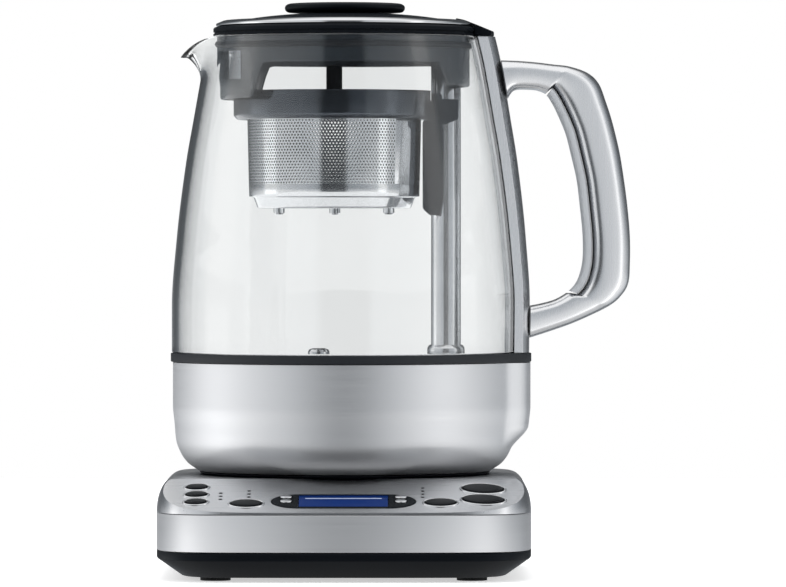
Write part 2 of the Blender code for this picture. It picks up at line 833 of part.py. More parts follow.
def make_lights(parent):
    """Bars of clear plastic behind the panel, with a dot through each hole."""
    front = -PANEL_WALL - GAP
    back = front - LIGHT_BAR_THICKNESS
    for name, columns in (("light_bar_left", LEFT_LIGHT_SHARES), ("light_bar_right", RIGHT_LIGHT_SHARES)):
        bar = piece(name, prism(bar_outline(columns), back, front), PALE_PLASTIC, parent)
        middle = (front + back) / 2
        dots = [
            prism(circle(LIGHT_RADIUS, TINY_SEGMENTS), middle, 0, place)
            for place in light_places(columns)
        ]
        weld(bar, grouped(dots), parent)


def make_panel(parent, slope):
    """The steel top: a shell with the controls' holes in its slope and the jug's seat in its flat."""
    panel = piece("base_top_panel", panel_block(0, 0), BRUSHED_STEEL, parent)
    cut(panel, panel_block(PANEL_WALL, OVERRUN), parent)
    seat = prism(circle(SEAT_RADIUS, ROUND_SEGMENTS), PANEL_RIM, PANEL_TOP + OVERRUN)
    cut(panel, seat, parent)
    low = -PANEL_WALL - OVERRUN
    holes = button_holes(False, low, OVERRUN)
    holes += [
        prism(circle(LIGHT_HOLE_RADIUS, TINY_SEGMENTS), low, OVERRUN, place)
        for place in light_places(LEFT_LIGHT_SHARES + RIGHT_LIGHT_SHARES)
    ]
    holes.append(prism(bezel_outline(GAP), low, OVERRUN))
    cut(panel, grouped(holes), slope)


def make_board(parent):
    """The circuit board on its four bosses."""
    low = TUB_BOTTOM + TUB_WALL + BOSS_HEIGHT + GAP
    front = -BASE_FRONT + BOARD_FRONT_SETBACK
    corners = ((-BOARD_HALF_WIDTH, front, low), (BOARD_HALF_WIDTH, front + BOARD_DEPTH, low + BOARD_THICKNESS))
    piece("control_board", block(*corners), CIRCUIT_BOARD, parent)


def make_seat(parent):
    """The black dish that the jug stands in, and the round connector tower through it."""
    wall = FOOT_CAP_WAIST_RADIUS + DISH_CLEARANCE
    hole = TOWER_RADIUS + GAP
    bottom = DISH_FLOOR - DISH_WALL
    rim = SEAT_RADIUS + DISH_RIM
    profile = (
        (hole, DISH_FLOOR),
        (wall, DISH_FLOOR),
        (wall, DISH_RIM_TOP),
        (rim, DISH_RIM_TOP),
        (rim, DISH_RIM_TOP - DISH_WALL),
        (wall + DISH_WALL, DISH_RIM_TOP - DISH_WALL),
        (wall + DISH_WALL, bottom),
        (hole, bottom),
    )
    dish = trimmed(turned(profile), PANEL_WALL + GAP)
    piece("seat_dish", dish, BLACK_PLASTIC, parent)
    flange = TOWER_RADIUS + TOWER_FLANGE
    shoulder = DISH_FLOOR + TOWER_HEIGHT
    profile = (
        (flange, bottom - GAP - TOWER_FLANGE),
        (flange, bottom - GAP),
        (TOWER_RADIUS, bottom - GAP),
        (TOWER_RADIUS, shoulder),
        (TOWER_TIP_RADIUS, shoulder),
        (TOWER_TIP_RADIUS, shoulder + TOWER_TIP_HEIGHT),
    )
    piece("base_connector", turned(profile, SMALL_SEGMENTS, closed=False), BLACK_PLASTIC, parent)


def make_foot_cap(parent):
    """The black dish that closes the bowl from below, and the connector socket through it."""
    bore = TOWER_RADIUS + SOCKET_CLEARANCE
    socket_radius = bore + SOCKET_WALL
    ceiling = DISH_FLOOR + TOWER_HEIGHT + TOWER_TIP_HEIGHT + SOCKET_ROOM
    hole = socket_radius + GAP
    waist = JUG_BOTTOM + FOOT_CAP_HEIGHT * FOOT_CAP_WAIST_SHARE
    floor = JUG_BOTTOM + FOOT_CAP_WALL
    profile = (
        (hole, JUG_BOTTOM),
        (FOOT_CAP_BOTTOM_RADIUS, JUG_BOTTOM),
        (FOOT_CAP_WAIST_RADIUS, waist),
        (FOOT_CAP_RADIUS, FOOT_CAP_TOP),
        (FOOT_CAP_RADIUS - FOOT_CAP_WALL, FOOT_CAP_TOP),
        (FOOT_CAP_BOTTOM_RADIUS - FOOT_CAP_WALL, floor),
        (hole, floor),
    )
    piece("jug_foot_cap", turned(profile), BLACK_PLASTIC, parent)
    flange = socket_radius + SOCKET_WALL
    profile = (
        (bore, ceiling),
        (bore, JUG_BOTTOM),
        (socket_radius, JUG_BOTTOM),
        (socket_radius, floor + GAP),
        (flange, floor + GAP),
        (flange, floor + GAP + SOCKET_WALL),
        (socket_radius, floor + GAP + SOCKET_WALL),
        (socket_radius, ceiling + SOCKET_WALL),
    )
    piece("jug_connector", turned(profile, SMALL_SEGMENTS, closed=False), BLACK_PLASTIC, parent)


def bump_share(angle):
    """How much of the column's bulge shows at an angle round the jug."""
    return 1 - smooth_step((angle_from(angle, 0) - BUMP_FLAT) / (BUMP_SPAN - BUMP_FLAT))


def bumped_ring(radius, bump, height):
    angles = focused_angles(0, BUMP_SPAN)
    return [polar(radius + bump * bump_share(angle), angle, height) for angle in angles]


def make_bowl(parent):
    """The steel bowl, drawn in to its foot and bulged out under the column."""
    outside = []
    inside = []
    for share, radius_share in BOWL_SHARES:
        rise = (share - BOWL_BUMP_START_SHARE) / (BOWL_BUMP_FULL_SHARE - BOWL_BUMP_START_SHARE)
        bump = BOWL_BUMP * smooth_step(rise)
        height = BOWL_BOTTOM + BOWL_HEIGHT * share
        radius = BOWL_RADIUS * radius_share
        outside.append(bumped_ring(radius, bump, height))
        inside.append(bumped_ring(radius - BOWL_WALL, bump, height))
    piece("steel_bowl", loft(outside + inside[::-1], closed=True), BRUSHED_STEEL, parent)


def seal_inside():
    """Radius of the seal's step, which the heater plate fits in."""
    return GLASS_RADIUS - GLASS_WALL - GAP


def make_seal(parent):
    """The black ring between the bowl and the glass, with a ledge for the heater plate."""
    ledge = SEAL_BOTTOM + SEAL_LEDGE
    inner = seal_inside() - SEAL_LEDGE_WIDTH
    levels = (
        (SEAL_RADIUS, SEAL_BUMP, SEAL_BOTTOM),
        (SEAL_RADIUS, SEAL_BUMP, SEAL_TOP),
        (seal_inside(), 0, SEAL_TOP),
        (seal_inside(), 0, ledge),
        (inner, 0, ledge),
        (inner, 0, SEAL_BOTTOM),
    )
    rings = [bumped_ring(*values) for values in levels]
    piece("seal_band", loft(rings, closed=True), BLACK_PLASTIC, parent)


def make_heater(parent):
    """The steel floor of the jug, the open ring of heating tube under it and the probe through it."""
    plate = piece(
        "heater_plate",
        prism(circle(flats(seal_inside()) - GAP, ROUND_SEGMENTS), PLATE_BOTTOM, PLATE_TOP),
        POLISHED_STEEL,
        parent,
    )
    low = PLATE_BOTTOM - OVERRUN
    high = PLATE_TOP + OVERRUN
    holes = (
        prism(circle(POST_RADIUS + GAP, SMALL_SEGMENTS), low, high, (POST_X, 0)),
        prism(circle(SENSOR_RADIUS + GAP, SMALL_SEGMENTS), low, high, (SENSOR_X, SENSOR_Y)),
    )
    cut(plate, grouped(holes), parent)
    height = PLATE_BOTTOM - GAP - ELEMENT_TUBE_RADIUS
    section = circle(ELEMENT_TUBE_RADIUS, TINY_SEGMENTS, (ELEMENT_RING_RADIUS, height))
    tube = arc_solid(section, ELEMENT_OPENING, math.tau - ELEMENT_OPENING, SMALL_SEGMENTS)
    piece("heating_element", tube, BRUSHED_STEEL, parent)
    profile = (
        (SENSOR_RADIUS, PLATE_BOTTOM - SENSOR_DEPTH),
        (SENSOR_RADIUS, PLATE_TOP + SENSOR_RISE / 2),
        (SENSOR_RADIUS * SENSOR_TIP_SHARE, PLATE_TOP + SENSOR_RISE),
    )
    probe = turned(profile, SMALL_SEGMENTS, (SENSOR_X, SENSOR_Y), closed=False)
    piece("temperature_sensor", probe, POLISHED_STEEL, parent)


def arc_solid(section, first, last, steps):
    """A section of (radius, height) points, swept part of the way round the jug's axis."""
    angles = [blend(first, last, index / steps) for index in range(steps + 1)]
    return loft([[polar(radius, angle, height) for radius, height in section] for angle in angles])


def pitch_radius(teeth):
    return GEAR_MODULE * teeth / 2


def motor_x():
    return POST_X - pitch_radius(SCREW_TEETH) - pitch_radius(PINION_TEETH)


def gear_outline(teeth, phase):
    """A spur gear's outline: straight-sided teeth, thinner towards their tips."""
    root = pitch_radius(teeth) - GEAR_MODULE * DEDENDUM_SHARE
    tip = pitch_radius(teeth) + GEAR_MODULE * ADDENDUM_SHARE
    step = math.tau / teeth
    points = []
    for tooth in range(teeth):
        middle = phase + step * tooth
        for radius, offset in ((root, -ROOT_SHARE), (tip, -TIP_SHARE), (tip, TIP_SHARE), (root, ROOT_SHARE)):
            angle = middle + step * offset
            points.append((radius * math.cos(angle), radius * math.sin(angle)))
    return points


def make_drive(jug, screw_parent, pinion_parent):
    """The motor, its pinion, the carrier plate that holds both shafts, and the geared lead screw."""
    top = PLATE_BOTTOM - CARRIER_DROP
    bottom = top - CARRIER_THICKNESS
    gear_low = PLATE_BOTTOM - GEAR_DROP
    gear_high = gear_low + GEAR_HEIGHT
    left = motor_x() - MOTOR_RADIUS
    right = POST_X + pitch_radius(SCREW_TEETH) + GEAR_MODULE + 2 * CARRIER_POST_RADIUS
    middle = (left + right) / 2
    plate = superellipse((right - left) / 2, CARRIER_HALF_WIDTH, BASE_POWER, SMALL_SEGMENTS)
    carrier = piece("drive_carrier", prism(plate, bottom, top, (middle, 0)), BRUSHED_STEEL, jug)
    reach = (right - left) / 2 - CARRIER_POST_RADIUS - GEAR_MODULE
    side = CARRIER_HALF_WIDTH - CARRIER_POST_RADIUS - GEAR_MODULE
    posts = [
        prism(
            circle(CARRIER_POST_RADIUS, TINY_SEGMENTS),
            bottom + CARRIER_THICKNESS / 2,
            PLATE_BOTTOM - GAP,
            (middle + across * reach, along * side),
        )
        for across in (-1, 1)
        for along in (-1, 1)
    ]
    weld(carrier, grouped(posts), jug)
    shank = SCREW_RADIUS * SHANK_SHARE
    holes = (
        prism(circle(shank + GAP, SMALL_SEGMENTS), bottom - OVERRUN, top + OVERRUN / 2, (POST_X, 0)),
        prism(circle(SHAFT_RADIUS + GAP, SMALL_SEGMENTS), bottom - OVERRUN, top + OVERRUN / 2, (motor_x(), 0)),
    )
    cut(carrier, grouped(holes), jug)

    motor_top = bottom - GAP
    profile = (
        (MOTOR_RADIUS, motor_top - MOTOR_HEIGHT),
        (MOTOR_RADIUS, motor_top),
        (SHAFT_RADIUS + GAP, motor_top),
        (SHAFT_RADIUS + GAP, motor_top - SHAFT_DEPTH - GAP),
    )
    motor = turned(profile, SMALL_SEGMENTS, (motor_x(), 0), closed=False)
    piece("drive_motor", motor, BRUSHED_STEEL, jug)

    shaft = prism(circle(SHAFT_RADIUS, TINY_SEGMENTS), motor_top - SHAFT_DEPTH, gear_low + GEAR_HEIGHT / 2)
    pinion_gear = prism(gear_outline(PINION_TEETH, math.pi / PINION_TEETH), gear_low, gear_high)
    pinion = piece("motor_pinion", pinion_gear, BRASS, pinion_parent)
    weld(pinion, shaft, pinion_parent)

    gear = piece("screw_gear", prism(gear_outline(SCREW_TEETH, 0), gear_low, gear_high), NYLON, screw_parent)
    bore = prism(circle(shank + GAP, SMALL_SEGMENTS), gear_low - OVERRUN, gear_high + OVERRUN)
    cut(gear, bore, screw_parent)
    piece("lead_screw", screw_shape(bottom, gear_high), POLISHED_STEEL, screw_parent)


def screw_ring(height, margin=0):
    """A section of the lead screw, whose lobes wind up it, or of the space that a margin leaves."""
    ring = []
    for index in range(2 * SCREW_STARTS):
        radius = SCREW_RADIUS * (SCREW_ROOT_SHARE if index % 2 else 1) + margin
        turn = math.tau * (height / SCREW_LEAD + index / (2 * SCREW_STARTS))
        ring.append(polar(radius, turn, height))
    return ring


def screw_rings(low, high, margin=0):
    rise = SCREW_LEAD * SCREW_STEP / math.tau
    steps = round((high - low) / rise)
    return [screw_ring(low + rise * index, margin) for index in range(steps + 1)]


def screw_shape(bottom, gear_high):
    """The lead screw: lobes lofted up the helix, above a plain shank."""
    shank = [(x * SHANK_SHARE, y * SHANK_SHARE) for x, y in circle(SCREW_RADIUS, 2 * SCREW_STARTS)]
    start = gear_high + GAP
    top = POST_TOP - POST_DOME - SCREW_TOP_ROOM
    turn = math.tau * start / SCREW_LEAD
    shank = turned_outline(shank, turn, (0, 0))
    return loft([level(shank, bottom), level(shank, start)] + screw_rings(start + GAP, top))


def magnet_middle():
    """Height of the basket's magnet, which the nut in the post stays level with."""
    return COLLAR_BOTTOM - GAP - MAGNET_DROP - MAGNET_HEIGHT / 2


def make_post(jug, nut_parent):
    """The steel tube on the jug's floor, its collar, and the magnetic nut that runs inside."""
    inside = POST_RADIUS - POST_WALL
    tail = PLATE_BOTTOM - POST_TAIL
    shoulder = POST_TOP - POST_DOME
    profile = (
        (inside * POST_TOP_SHARE, POST_TOP - POST_WALL),
        (inside, shoulder),
        (inside, tail),
        (POST_RADIUS, tail),
        (POST_RADIUS, shoulder),
        (POST_RADIUS * POST_TOP_SHARE, POST_TOP),
    )
    tube = turned(profile, SMALL_SEGMENTS, (POST_X, 0), closed=False)
    piece("post_tube", tube, POLISHED_STEEL, jug)
    low = PLATE_TOP + GAP
    profile = (
        (POST_RADIUS + GAP, low),
        (POST_FOOT_RADIUS, low),
        (POST_FOOT_RADIUS, low + POST_FOOT_HEIGHT / 2),
        (POST_RADIUS + POST_WALL, low + POST_FOOT_HEIGHT),
        (POST_RADIUS + GAP, low + POST_FOOT_HEIGHT),
    )
    piece("post_foot", turned(profile, SMALL_SEGMENTS, (POST_X, 0)), POLISHED_STEEL, jug)
    low = magnet_middle() - NUT_HEIGHT / 2
    high = low + NUT_HEIGHT
    nut = piece("magnet_nut", prism(circle(inside - SLIDE_GAP, SMALL_SEGMENTS), low, high), MAGNET, nut_parent)
    thread = loft(screw_rings(low - OVERRUN, high + OVERRUN, THREAD_GAP))
    cut(nut, thread, nut_parent)


def glass_radius(height):
    return GLASS_RADIUS * table_value(GLASS_SHARES, (height - GLASS_BOTTOM) / GLASS_HEIGHT)


def glass_ring(share, radius_share, inside):
    """One ring of the glass, drawn out and down into the spout on the left."""
    reach, drop = SPOUT_SHARES.get(share, (0, 0))
    wall = GLASS_WALL if inside else 0
    lip = SPOUT_LIP_RISE if inside else 0
    ring = []
    for angle in focused_angles(math.pi, SPOUT_HALF_SPAN):
        closeness = max(1 - angle_from(angle, math.pi) / SPOUT_HALF_SPAN, 0)
        weight = closeness**SPOUT_POINT_POWER
        radius = GLASS_RADIUS * radius_share - wall + SPOUT_REACH * reach * weight
        height = GLASS_BOTTOM + GLASS_HEIGHT * share - (SPOUT_DROP - lip) * drop * weight
        ring.append(polar(radius, angle, height))
    return ring


def make_glass(parent):
    """The blown glass wall, open at both ends, with its pouring lip."""
    outside = [glass_ring(share, radius_share, False) for share, radius_share in GLASS_SHARES]
    inside = [glass_ring(share, radius_share, True) for share, radius_share in reversed(GLASS_SHARES)]
    piece("glass_jug", loft(outside + inside, closed=True), CLEAR_GLASS, parent)


def column_outer(height):
    """How far the column's face stands from the jug's axis at a height."""
    share = (height - GLASS_BOTTOM) / GLASS_HEIGHT
    return glass_radius(height) + blend(COLUMN_FOOT_DEPTH, COLUMN_HEAD_DEPTH, share)


def column_ring(share):
    """One section of the column: hollowed to the glass behind, crowned and rounded in front."""
    height = GLASS_BOTTOM + GLASS_HEIGHT * share
    half = blend(COLUMN_FOOT_HALF_WIDTH, COLUMN_HEAD_HALF_WIDTH, share)
    inner = glass_radius(height) + GAP
    outer = column_outer(height)
    edge = math.sqrt(inner**2 - half**2)
    steps = FINE_STEPS
    back = []
    front = []
    for index in range(steps + 1):
        across = 2 * index / steps - 1
        back.append((math.sqrt(inner**2 - (half * across) ** 2), half * across, height))
        drop = (outer - edge) * COLUMN_EDGE_SHARE * across**4
        front.append((outer - drop, half * across, height))
    return back + front[::-1]


def make_column(parent):
    """The steel spine outside the glass, which carries the handle."""
    rings = [column_ring(share) for share, _ in GLASS_SHARES]
    piece("handle_column", loft(rings), BRUSHED_STEEL, parent)


def handle_stations():
    """Pairs of points, outer then inner, along the handle from its top root to its bottom root."""
    stations = []
    for shares in HANDLE_SHARES:
        pair = []
        for reach, rise in (shares[:2], shares[2:]):
            height = GLASS_BOTTOM + HANDLE_RISE + HANDLE_HEIGHT * rise
            pair.append(Vector((column_outer(height) + GAP + HANDLE_DEPTH * reach, 0, height)))
        stations.append(pair)
    return stations


def between(first, second, share):
    return [blend(start, end, share) for start, end in zip(first, second)]


def handle_section(outer, inner):
    """A rounded section that spans from the outer point to the inner one."""
    middle = (outer + inner) / 2
    along = (outer - inner).normalized()
    half = (outer - inner).length / 2
    outline = superellipse(half, HANDLE_WIDTH / 2, HANDLE_SECTION_POWER, HANDLE_SECTION_POINTS)
    return [middle + along * u + Vector((0, v, 0)) for u, v in outline]


def towards_outer(pair, distance):
    """The point that lies a distance in from the inner point."""
    outer, inner = pair
    return inner + (outer - inner).normalized() * distance


def make_handle(parent):
    """The looped steel handle, recessed inside for a strip of pale plastic."""
    stations = handle_stations()
    rings = []
    for index, pair in enumerate(stations):
        lined = LINER_FIRST <= index <= LINER_LAST
        if index == LINER_FIRST:
            rings.append(handle_section(*between(pair, stations[index - 1], LINER_STEP_SHARE)))
        inner = towards_outer(pair, LINER_DEPTH + GAP) if lined else pair[1]
        rings.append(handle_section(pair[0], inner))
        if index == LINER_LAST:
            rings.append(handle_section(*between(pair, stations[index + 1], LINER_STEP_SHARE)))
    piece("handle", loft(rings), BRUSHED_STEEL, parent)
    strip = stations[LINER_FIRST : LINER_LAST + 1]
    strip[0] = between(strip[0], strip[1], LINER_STEP_SHARE)
    strip[-1] = between(strip[-1], strip[-2], LINER_STEP_SHARE)
    rings = [handle_section(towards_outer(pair, LINER_DEPTH), pair[1]) for pair in strip]
    piece("handle_liner", loft(rings), PALE_PLASTIC, parent)


def handle_reach():
    """The handle's furthest point from the jug's axis."""
    return max(outer.x for outer, _ in handle_stations())


def perforated_sheet(rows, angles, pierced_rows, web, centre, all_round):
    """A curved sheet of quads through (radius, height) rows, with a hole in each pierced quad."""
    shape = bmesh.new()
    grid = []
    for radius, height in rows:
        points = [polar(radius, angle, height) for angle in angles]
        grid.append([shape.verts.new((x + centre, y, z)) for x, y, z in points])
    pierced = []
    columns = len(angles) if all_round else len(angles) - 1
    for row, (low, high) in enumerate(zip(grid, grid[1:])):
        for column in range(columns):
            after = (column + 1) % len(angles)
            face = shape.faces.new((low[column], low[after], high[after], high[column]))
            if row in pierced_rows:
                pierced.append(face)
    shape.normal_update()
    bmesh.ops.inset_individual(shape, faces=pierced, thickness=web / 2)
    bmesh.ops.delete(shape, geom=pierced, context="FACES")
    return shape


def thicken(sheet, wall):
    """Gives a sheet its wall, inwards from the modelled face."""
    shell = sheet.modifiers.new("wall", "SOLIDIFY")
    shell.thickness = wall
    shell.offset = -1


def make_mesh(parent):
    """The perforated steel wall of the basket, with its plain bands above and below."""
    heights = [MESH_BOTTOM]
    heights += [MESH_BOTTOM + MESH_BAND + MESH_HOLES_HEIGHT * row / MESH_ROWS for row in range(MESH_ROWS + 1)]
    heights.append(MESH_TOP)
    rows = []
    for height in heights:
        share = (height - MESH_BOTTOM) / (MESH_TOP - MESH_BOTTOM)
        rows.append((blend(MESH_FOOT_RADIUS, MESH_RADIUS, share), height))
    angles = [math.tau * index / MESH_COLUMNS for index in range(MESH_COLUMNS)]
    pierced = range(1, MESH_ROWS + 1)
    sheet = perforated_sheet(rows, angles, pierced, MESH_WEB, BASKET_X, True)
    thicken(piece("basket_mesh", sheet, POLISHED_STEEL, parent), MESH_WALL)


def make_pan(parent):
    """The steel floor of the basket, lipped to fit inside the wall, with three lugs below."""
    lip = flats(MESH_FOOT_RADIUS - MESH_WALL, MESH_COLUMNS) - GAP
    seat = MESH_BOTTOM - GAP
    profile = (
        (PAN_FOOT_RADIUS, PAN_BOTTOM),
        (PAN_RADIUS, seat),
        (lip, seat),
        (lip, MESH_BOTTOM + PAN_LIP_HEIGHT),
        (lip - PAN_WALL, MESH_BOTTOM + PAN_LIP_HEIGHT),
        (PAN_RADIUS - PAN_WALL, seat),
        (PAN_FOOT_RADIUS - PAN_WALL, PAN_BOTTOM + PAN_WALL),
    )
    pan = piece("basket_pan", turned(profile, centre=(BASKET_X, 0), closed=False), POLISHED_STEEL, parent)
    ring = PAN_FOOT_RADIUS * PAN_LUG_RING_SHARE
    low = PAN_BOTTOM - PAN_LUG_HEIGHT
    high = PAN_BOTTOM + PAN_WALL / 2
    lugs = [
        prism(circle(PAN_LUG_RADIUS, TINY_SEGMENTS), low, high, (BASKET_X + x, y))
        for x, y in circle(ring, PAN_LUGS, start=math.pi / 2)
    ]
    weld(pan, grouped(lugs), parent)


def collar_bore():
    """Radius of the collar's bore, clear of the wall's corners."""
    return (MESH_RADIUS + GAP) / flats(1)


def bracket_face():
    """The plane that the basket keeps behind, just clear of the post."""
    return POST_X - POST_RADIUS - SLIDE_GAP


def make_collar(parent):
    """The grey ring round the top of the basket, funnelled inside and flat towards the post."""
    ledge = COLLAR_BOTTOM + COLLAR_HEIGHT * COLLAR_LEDGE_SHARE
    profile = (
        (COLLAR_RADIUS - COLLAR_CHAMFER, COLLAR_BOTTOM),
        (COLLAR_RADIUS, COLLAR_BOTTOM + COLLAR_CHAMFER),
        (COLLAR_RADIUS, COLLAR_TOP),
        (COLLAR_RADIUS - COLLAR_LIP, COLLAR_TOP),
        (collar_bore(), ledge),
        (collar_bore(), COLLAR_BOTTOM),
    )
    collar = piece("basket_collar", turned(profile, centre=(BASKET_X, 0)), SLATE_PLASTIC, parent)
    low = (bracket_face(), -COLLAR_RADIUS, COLLAR_BOTTOM - OVERRUN)
    high = (BASKET_X + COLLAR_RADIUS + OVERRUN, COLLAR_RADIUS, COLLAR_TOP + OVERRUN)
    cut(collar, block(low, high), parent)


def make_bracket(parent):
    """The slide that hugs the post, with a pocket behind its web for the magnet."""
    back = BASKET_X + MESH_RADIUS + 2 * GAP
    face = bracket_face()
    top = COLLAR_BOTTOM - GAP
    bottom = top - BRACKET_DROP
    tip = BRACKET_DROP * BRACKET_TIP_SHARE
    tab_low = top + GAP
    outline = (
        (back, bottom + tip / 2),
        (face, bottom),
        (face + BRACKET_REACH / 2, bottom),
        (face + BRACKET_REACH, bottom + tip),
        (face + BRACKET_REACH, top - BRACKET_WALL),
        (face + BRACKET_TAB_REACH, tab_low),
        (face + BRACKET_TAB_REACH, tab_low + BRACKET_TAB_HEIGHT),
        (face + GAP, tab_low + BRACKET_TAB_HEIGHT),
        (face + GAP, top),
        (back, top),
    )
    channel = POST_RADIUS + SLIDE_GAP
    slide = piece("basket_bracket", side_prism(outline, channel + BRACKET_WALL), SLATE_PLASTIC, parent)
    high = face + BRACKET_TAB_REACH + OVERRUN
    cut(slide, block((face, -channel, bottom - OVERRUN), (high, channel, COLLAR_TOP)), parent)
    magnet_low = (back + GAP, -MAGNET_HALF_WIDTH, magnet_middle() - MAGNET_HEIGHT / 2)
    magnet_high = (back + GAP + MAGNET_THICKNESS, MAGNET_HALF_WIDTH, magnet_middle() + MAGNET_HEIGHT / 2)
    piece("bracket_magnet", block(magnet_low, magnet_high), MAGNET, parent)
    pocket_low = (back - OVERRUN, magnet_low[1] - GAP, magnet_low[2] - GAP)
    pocket_high = [value + GAP for value in magnet_high]
    cut(slide, block(pocket_low, pocket_high), parent)


def make_basket_lid(parent):
    """The loose lid inside the collar, with the black knob that it is lifted by."""
    low = MESH_TOP + GAP
    high = low + BASKET_LID_THICKNESS
    floor = high - BASKET_LID_DISH
    radius = flats(collar_bore()) - SLIDE_GAP
    profile = (
        (radius, low),
        (radius, high),
        (radius * LID_RIM_SHARE, high),
        (radius * LID_DISH_SHARE, floor),
    )
    lid = turned(profile, centre=(BASKET_X, 0), closed=False)
    piece("basket_lid", lid, SLATE_PLASTIC, parent)
    waist = BASKET_KNOB_RADIUS * BASKET_KNOB_WAIST_SHARE
    radii = (BASKET_KNOB_RADIUS, BASKET_KNOB_RADIUS, waist, waist, BASKET_KNOB_RADIUS, waist)
    profile = [
        (knob_radius, floor + GAP + BASKET_KNOB_HEIGHT * share)
        for knob_radius, share in zip(radii, BASKET_KNOB_SHARES)
    ]
    knob = turned(profile, SMALL_SEGMENTS, (BASKET_X, 0), closed=False)
    piece("basket_lid_knob", knob, BLACK_PLASTIC, parent)


def shoulder_radius():
    return LID_RADIUS * LID_SHOULDER_SHARE


def shoulder_height():
    return LID_BOTTOM + LID_RIM_HEIGHT + LID_SHOULDER_RISE


def cover_height(radius):
    """Height of the lid's upper face: a dome inside the shoulder and a cone outside it."""
    shoulder = shoulder_radius()
    if radius < shoulder:
        return shoulder_height() + (LID_TOP - shoulder_height()) * (1 - (radius / shoulder) ** 2)
    return shoulder_height() - LID_SHOULDER_RISE * (radius - shoulder) / (LID_RADIUS - shoulder)


def make_cover(parent):
    """The domed lid cover: a shell with a stepped rim, open in the middle for the knob's stem."""
    radii = [LID_BORE] + [shoulder_radius() * share for share in DOME_SHARES] + [shoulder_radius()]
    flat = SKIRT_RADIUS - SKIRT_WALL - LID_WALL
    outside = [(radius, cover_height(radius)) for radius in radii + [LID_RADIUS]]
    inside = [(radius, cover_height(radius) - LID_WALL) for radius in radii if radius < flat]
    profile = outside + [(LID_RADIUS, LID_BOTTOM), (flat, LID_BOTTOM)] + inside[::-1]
    piece("lid_cover", turned(profile), SLATE_PLASTIC, parent)


def make_lid_knob(parent):
    """The round grip on the lid, with its stem in the cover."""
    low = LID_TOP + GAP
    stem = LID_BORE - GAP
    rim = KNOB_RADIUS - KNOB_EDGE
    profile = (
        (stem, cover_height(LID_BORE) - KNOB_STEM),
        (stem, low),
        (rim, low),
        (KNOB_RADIUS, low + KNOB_EDGE),
        (KNOB_RADIUS, low + KNOB_HEIGHT - KNOB_EDGE),
        (rim, low + KNOB_HEIGHT),
    )
    piece("lid_knob", turned(profile, closed=False), BLACK_PLASTIC, parent)


def make_trim(parent):
    """The bright ring on the lid's shoulder, open where the tab crosses it, and the tab."""
    seat = LID_SHOULDER_RISE / (LID_RADIUS - shoulder_radius()) * GAP + GAP
    inner = shoulder_radius() + GAP
    outer = inner + TRIM_WIDTH
    low = [(radius, cover_height(radius) + seat) for radius in (inner, outer)]
    section = low + [(radius, height + TRIM_THICKNESS) for radius, height in reversed(low)]
    spare = TAB_HALF_SPAN + GAP / LID_RADIUS * 2
    ring = arc_solid(section, spare, math.tau - spare, ROUND_SEGMENTS)
    piece("lid_trim_ring", ring, POLISHED_STEEL, parent)

    start = LID_RADIUS - TAB_OVERLAP
    side = LID_RADIUS + GAP
    reach = column_outer(GLASS_TOP) - GAP
    nose = LID_BOTTOM + TAB_NOSE
    section = (
        (start, cover_height(start) + seat),
        (shoulder_radius(), shoulder_height() + seat),
        (side, cover_height(LID_RADIUS) + seat),
        (side, LID_BOTTOM),
        (reach, LID_BOTTOM),
        (reach, nose),
        (side, cover_height(LID_RADIUS) + TAB_THICKNESS),
        (shoulder_radius(), shoulder_height() + TAB_THICKNESS),
        (start, cover_height(start) + TAB_THICKNESS),
    )
    tab = arc_solid(section, -TAB_HALF_SPAN, TAB_HALF_SPAN, FINE_STEPS // 2)
    piece("lid_tab", tab, BLACK_PLASTIC, parent)


def skirt_depth(angle):
    """How far the skirt hangs below its top: deep at the spout, less so at the post."""

    def share(centre, span):
        return 1 - smooth_step((angle_from(angle, centre) - span) / SKIRT_EDGE_SPAN)

    deep = (SKIRT_DEEP - SKIRT_SHALLOW) * share(math.pi, SKIRT_DEEP_SPAN)
    right = (SKIRT_RIGHT - SKIRT_SHALLOW) * share(0, SKIRT_RIGHT_SPAN)
    return SKIRT_SHALLOW + deep + right


